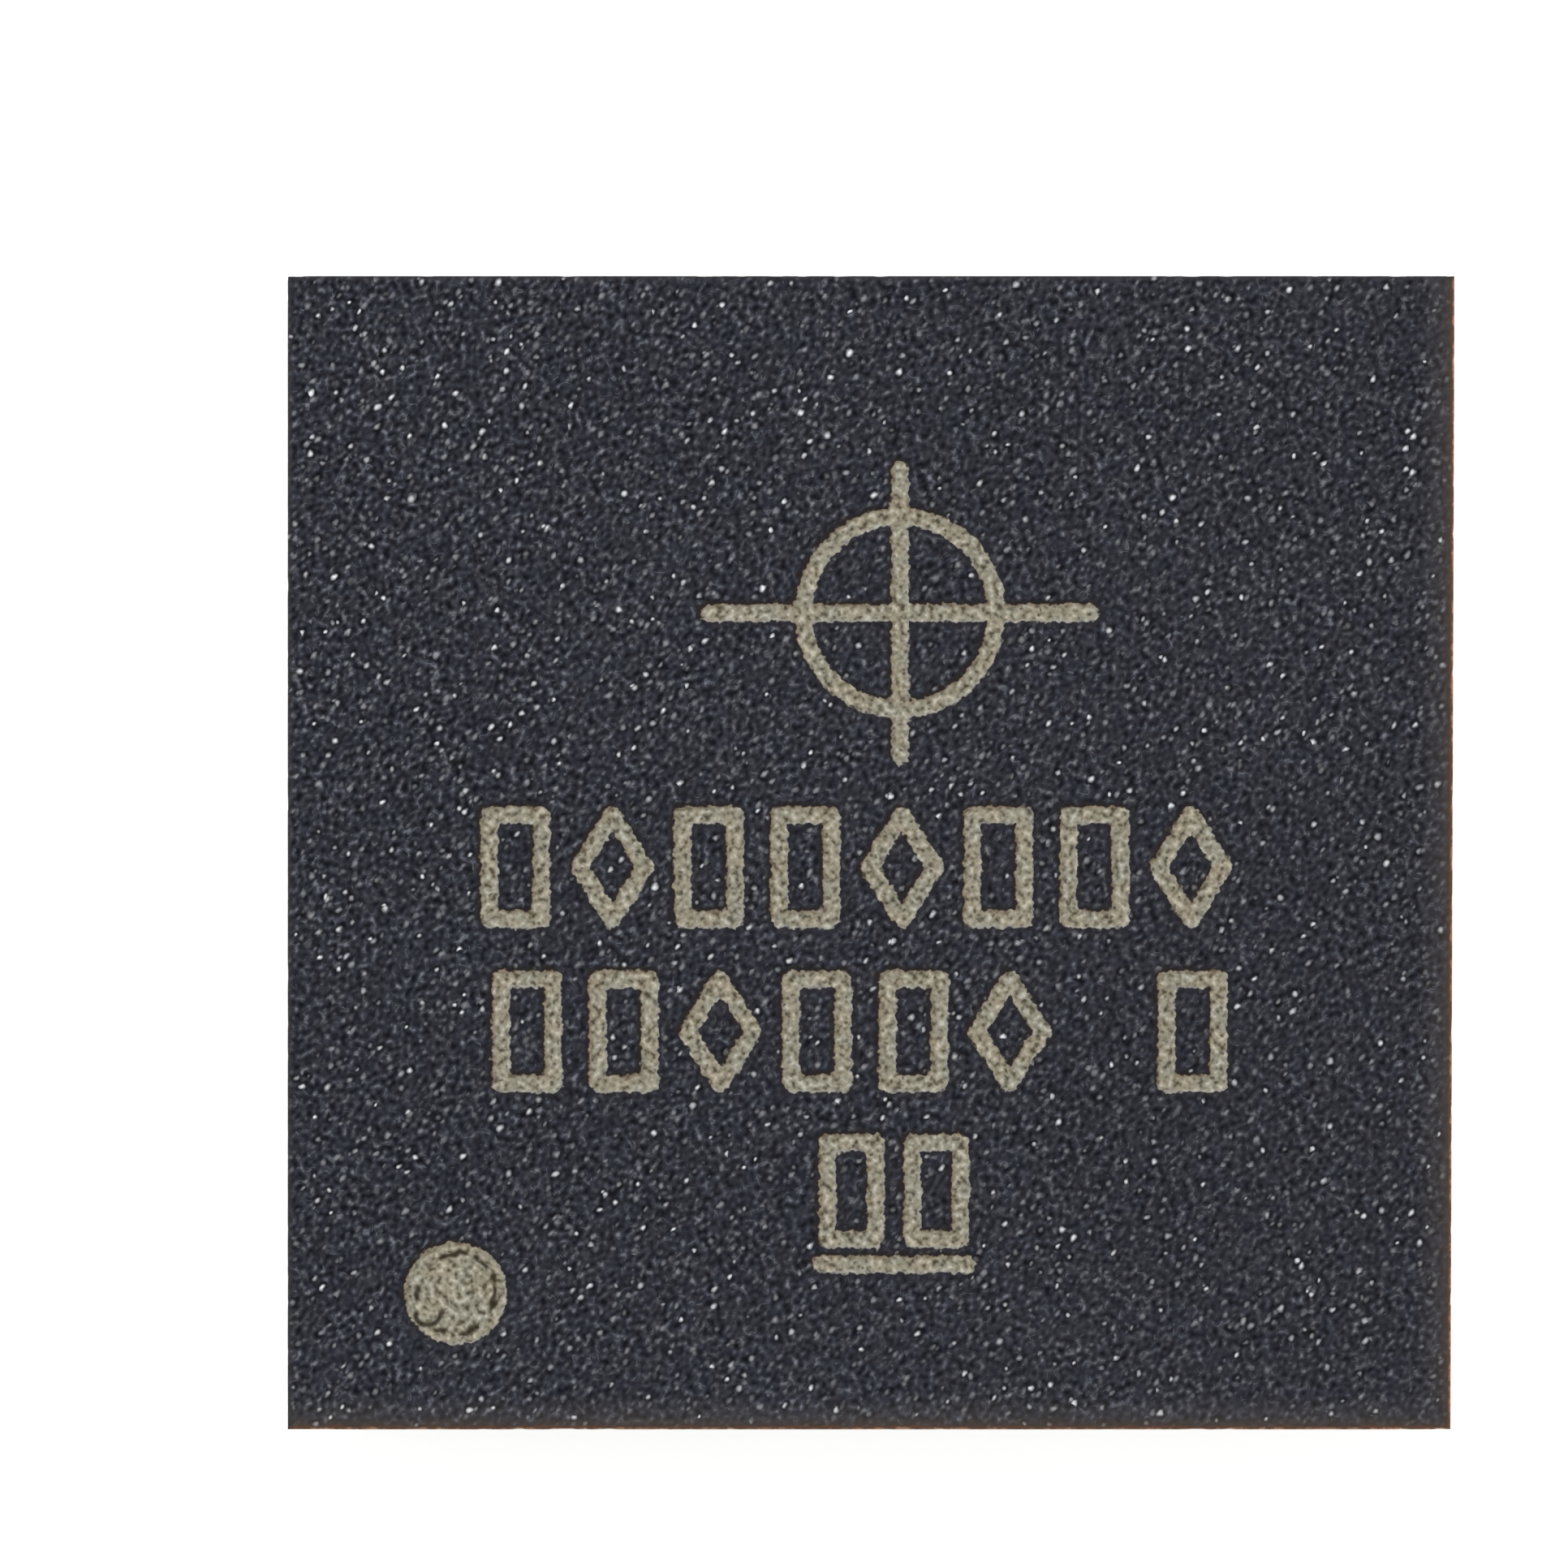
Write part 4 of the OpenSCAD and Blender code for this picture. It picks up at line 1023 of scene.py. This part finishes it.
    # walls: outer face's outlines to the upper side's
    for l, u in zip(loops, up_loops):
        for i in range(len(l)):
            j = (i + 1) % len(l)
            q = (l[i], l[j], base + u[j], base + u[i])
            faces.append(q if l is outer else tuple(reversed(q)))
    ob = make("lower_mask", np.concatenate(verts), faces)
    hidden = len(U) + 4
    for name, values in stored.items():
        point_attr(ob, name, np.concatenate([values, np.full(hidden, 1.0 if name in ("copper", "side") else 0.0)]))
    ob.data.set_sharp_from_angle(angle=math.radians(45))
    ob.data.materials.append(green)
    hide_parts("bottom_solder_mask")
    return ob


build_under()


# ---------------------------------------------------------------- solder balls
def build_balls():
    """Each ball bulges from its mask opening; dents and a nub on one side differ from ball to ball."""
    rng = np.random.default_rng(5)
    seg, rows = 30, 17
    z_cut = Z_MASK + 0.0005
    th = np.linspace(0, math.pi - math.acos((z_cut - BALL_R) / BALL_R), rows)     # angle from the tip to the opening
    ph = np.arange(seg) * 2 * math.pi / seg
    verts, faces, glints, k = [], [], [], 0
    for bx, by, r, c in BALLS:
        T, Pp = np.meshgrid(th[1:], ph, indexing="ij")
        dx, dy, dz = np.sin(T) * np.cos(Pp), np.sin(T) * np.sin(Pp), -np.cos(T)
        off = rng.uniform(-50, 50, 3)
        lump = fbm(dx * 0.9 + off[0] + 0.7 * dz, dy * 0.9 + off[1] - 0.5 * dz, 0.85, 301, 2)
        dent = np.zeros_like(T)
        for _ in range(rng.integers(3, 7)):
            a, t0 = rng.uniform(0, 2 * math.pi), rng.uniform(0.15, 1.5)
            q = np.array([math.sin(t0) * math.cos(a), math.sin(t0) * math.sin(a), -math.cos(t0)])
            ang = np.arccos(np.clip(dx * q[0] + dy * q[1] + dz * q[2], -1, 1))
            w = rng.uniform(0.14, 0.38)
            dent += rng.uniform(0.3, 1.2) * np.exp(-(ang / w) ** 2)
        R = BALL_R * (1 - 0.022 * (0.5 + 0.5 * lump) - 0.035 * dent)
        # nub low on the -X -Y side, a broader point at -X and a second lump now and then
        nubs = [(math.radians(rng.normal(233, 9)), rng.uniform(1.30, 1.55), rng.uniform(0.12, 0.19), rng.uniform(0.03, 0.11)),
                (math.radians(rng.normal(184, 8)), rng.uniform(1.35, 1.65), rng.uniform(0.16, 0.24), rng.uniform(0.0, 0.05))]
        if rng.random() < 0.2:
            nubs.append((rng.uniform(0, 2 * math.pi), rng.uniform(1.3, 1.7), rng.uniform(0.12, 0.22), rng.uniform(0.04, 0.09)))
        glint = np.zeros_like(T)
        for a, t0, w, hgt in nubs:
            q = np.array([math.sin(t0) * math.cos(a), math.sin(t0) * math.sin(a), -math.cos(t0)])
            ang = np.arccos(np.clip(dx * q[0] + dy * q[1] + dz * q[2], -1, 1))
            R = R + BALL_R * hgt * np.exp(-(ang / w) ** 2.4)
            glint = np.maximum(glint, min(1.0, hgt / 0.08) * np.exp(-(ang / (0.8 * w)) ** 2.4))
        fade = smooth(th[-1], th[-1] - 0.25, T)      # back to the opening's circle at the neck
        R = BALL_R + (R - BALL_R) * fade
        x, y, z = bx + R * dx, by + R * dy, BALL_R + R * dz
        lowest = z.min()
        ring = np.stack([x, y, z], -1).reshape(-1, 3)
        verts.append([[bx, by, max(0.0, min(lowest, 0.0006))]])
        verts.append(ring)
        # neck inside the opening and its closed top
        neck = np.stack([bx + (OPEN_R - 0.0006) * np.cos(ph), by + (OPEN_R - 0.0006) * np.sin(ph), np.full(seg, Z_PAD)], -1)
        verts.append(neck)
        glints.append(np.concatenate([[0.0], glint.reshape(-1), np.zeros(seg)]))
        tip, first = k, k + 1
        for j in range(seg):
            faces.append((tip, first + (j + 1) % seg, first + j))
        for i in range(rows - 2):
            for j in range(seg):
                a, b = first + i * seg + j, first + i * seg + (j + 1) % seg
                faces.append((a, b, b + seg, a + seg))
        last = first + (rows - 2) * seg
        for j in range(seg):
            a, b = last + j, last + (j + 1) % seg
            faces.append((a, b, last + seg + (j + 1) % seg, last + seg + j))
        faces.append(tuple(last + seg + j for j in range(seg)))
        k += 1 + (rows - 1) * seg + seg
    V = np.concatenate([np.asarray(v, dtype=float) for v in verts])
    wx, wy = V[:, 0], V[:, 1]
    ob = make("solder_ball_grid", np.stack([wx, wy, np.clip(V[:, 2], 0, None)], 1), faces)
    point_attr(ob, "glint", np.concatenate(glints))
    ob.data.set_sharp_from_angle(angle=math.radians(50))
    ob.data.materials.append(solder_material())
    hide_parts("solder_balls")
    return ob


build_balls()

# ---------------------------------------------------------------- carried-over CAD nodes
def dress(node, mat):
    o = NODES[node]
    o.data.materials.clear()
    o.data.materials.append(mat)


copper = metal_material("copper", rgb(196, 128, 92), rgb(214, 150, 112), 0.3, 0.45)
gold = metal_material("gold_wire", rgb(222, 178, 92), rgb(236, 198, 118), 0.2, 0.3, 30)
for nname in ("die_paddle", "signal_vias", "ground_vias", "ball_pads", "ground_pour", "power_pours"):
    dress(nname, copper)
for nname in ("wires_left", "wires_right", "wires_front", "wires_back", "bond_fingers"):
    dress(nname, gold)
dress("pin_1_triangle", bare_copper_material())
dress("silicon_die", plain_material("silicon", rgb(70, 72, 80), rgb(86, 88, 96), 0.12, 0.25))
dress("die_attach", plain_material("die_attach", rgb(150, 152, 156), rgb(176, 178, 182), 0.5, 0.7))

# ---------------------------------------------------------------- stage, light, camera
floor_me = bpy.data.meshes.new("floor")
floor_me.from_pydata([(-3, -3, 0), (3, -3, 0), (3, 3, 0), (-3, 3, 0)], [], [(0, 1, 2, 3)])
floor = bpy.data.objects.new("floor", floor_me)
bpy.context.scene.collection.objects.link(floor)
fmat, fnt, fb = new_mat("floor_white")
fb.inputs["Base Color"].default_value = (0.93, 0.93, 0.93, 1)
fb.inputs["Emission Color"].default_value = (1, 1, 1, 1)
fb.inputs["Emission Strength"].default_value = 0.55
fb.inputs["Roughness"].default_value = 0.9
fb.inputs["Specular IOR Level"].default_value = 0.1
floor_me.materials.append(fmat)

sc = bpy.context.scene
world = bpy.data.worlds.new("studio")
world.use_nodes = True
wnt = world.node_tree
wnt.nodes.clear()
wout = wnt.nodes.new("ShaderNodeOutputWorld")
bg = wnt.nodes.new("ShaderNodeBackground")
wnt.links.new(bg.outputs[0], wout.inputs[0])
tc = wnt.nodes.new("ShaderNodeTexCoord")
sx = split(wnt, tc.outputs["Generated"])
lvl = remap(wnt, sx[2], 0.05, 0.85, 1.0, 0.35)
wnt.links.new(add(wnt, "ShaderNodeCombineColor", {0: lvl, 1: lvl, 2: lvl}).outputs[0], bg.inputs[0])
bg.inputs[1].default_value = 1.0
sc.world = world


def area(name, loc_mm, size_mm, watts, colour=(1, 1, 1)):
    ld = bpy.data.lights.new(name, "AREA")
    ld.shape = "DISK"
    ld.size = size_mm * MM
    ld.energy = watts
    ld.color = colour
    lo = bpy.data.objects.new(name, ld)
    lo.location = Vector(loc_mm) * MM
    lo.rotation_euler = (Vector((0, 0, 0.5)) - Vector(loc_mm)).to_track_quat("-Z", "Y").to_euler()
    sc.collection.objects.link(lo)
    return lo


area("key", (-75, 65, 60), 45, 0.062)
area("fill", (75, -40, 60), 60, 0.030, (1.0, 0.98, 0.96))
area("back", (20, 80, 50), 50, 0.020)

PX = 238.2                      # picture scale, frame pixels per mm
CX, CY = 1073.4, 1050.7         # where the body's centre stands in the frame
LENS, SENSOR, SIDE = 200.0, 36.0, 1932.0
dist = (SIDE / PX) / (SENSOR / LENS)      # mm from the lens to the top face
cam_d = bpy.data.cameras.new("camera")
cam_d.lens, cam_d.sensor_width = LENS, SENSOR
cam_d.clip_start, cam_d.clip_end = 0.001, 20.0
cam = bpy.data.objects.new("camera", cam_d)
cam.location = Vector((-(CX - SIDE / 2) / PX, (CY - SIDE / 2) / PX, Z_TOP + dist)) * MM
cam.rotation_euler = (0, 0, 0)
sc.collection.objects.link(cam)
sc.camera = cam
sc.view_settings.view_transform = "Standard"
sc.view_settings.look = "None"
sc.view_settings.exposure = 0.0
sc.view_settings.gamma = 1.0
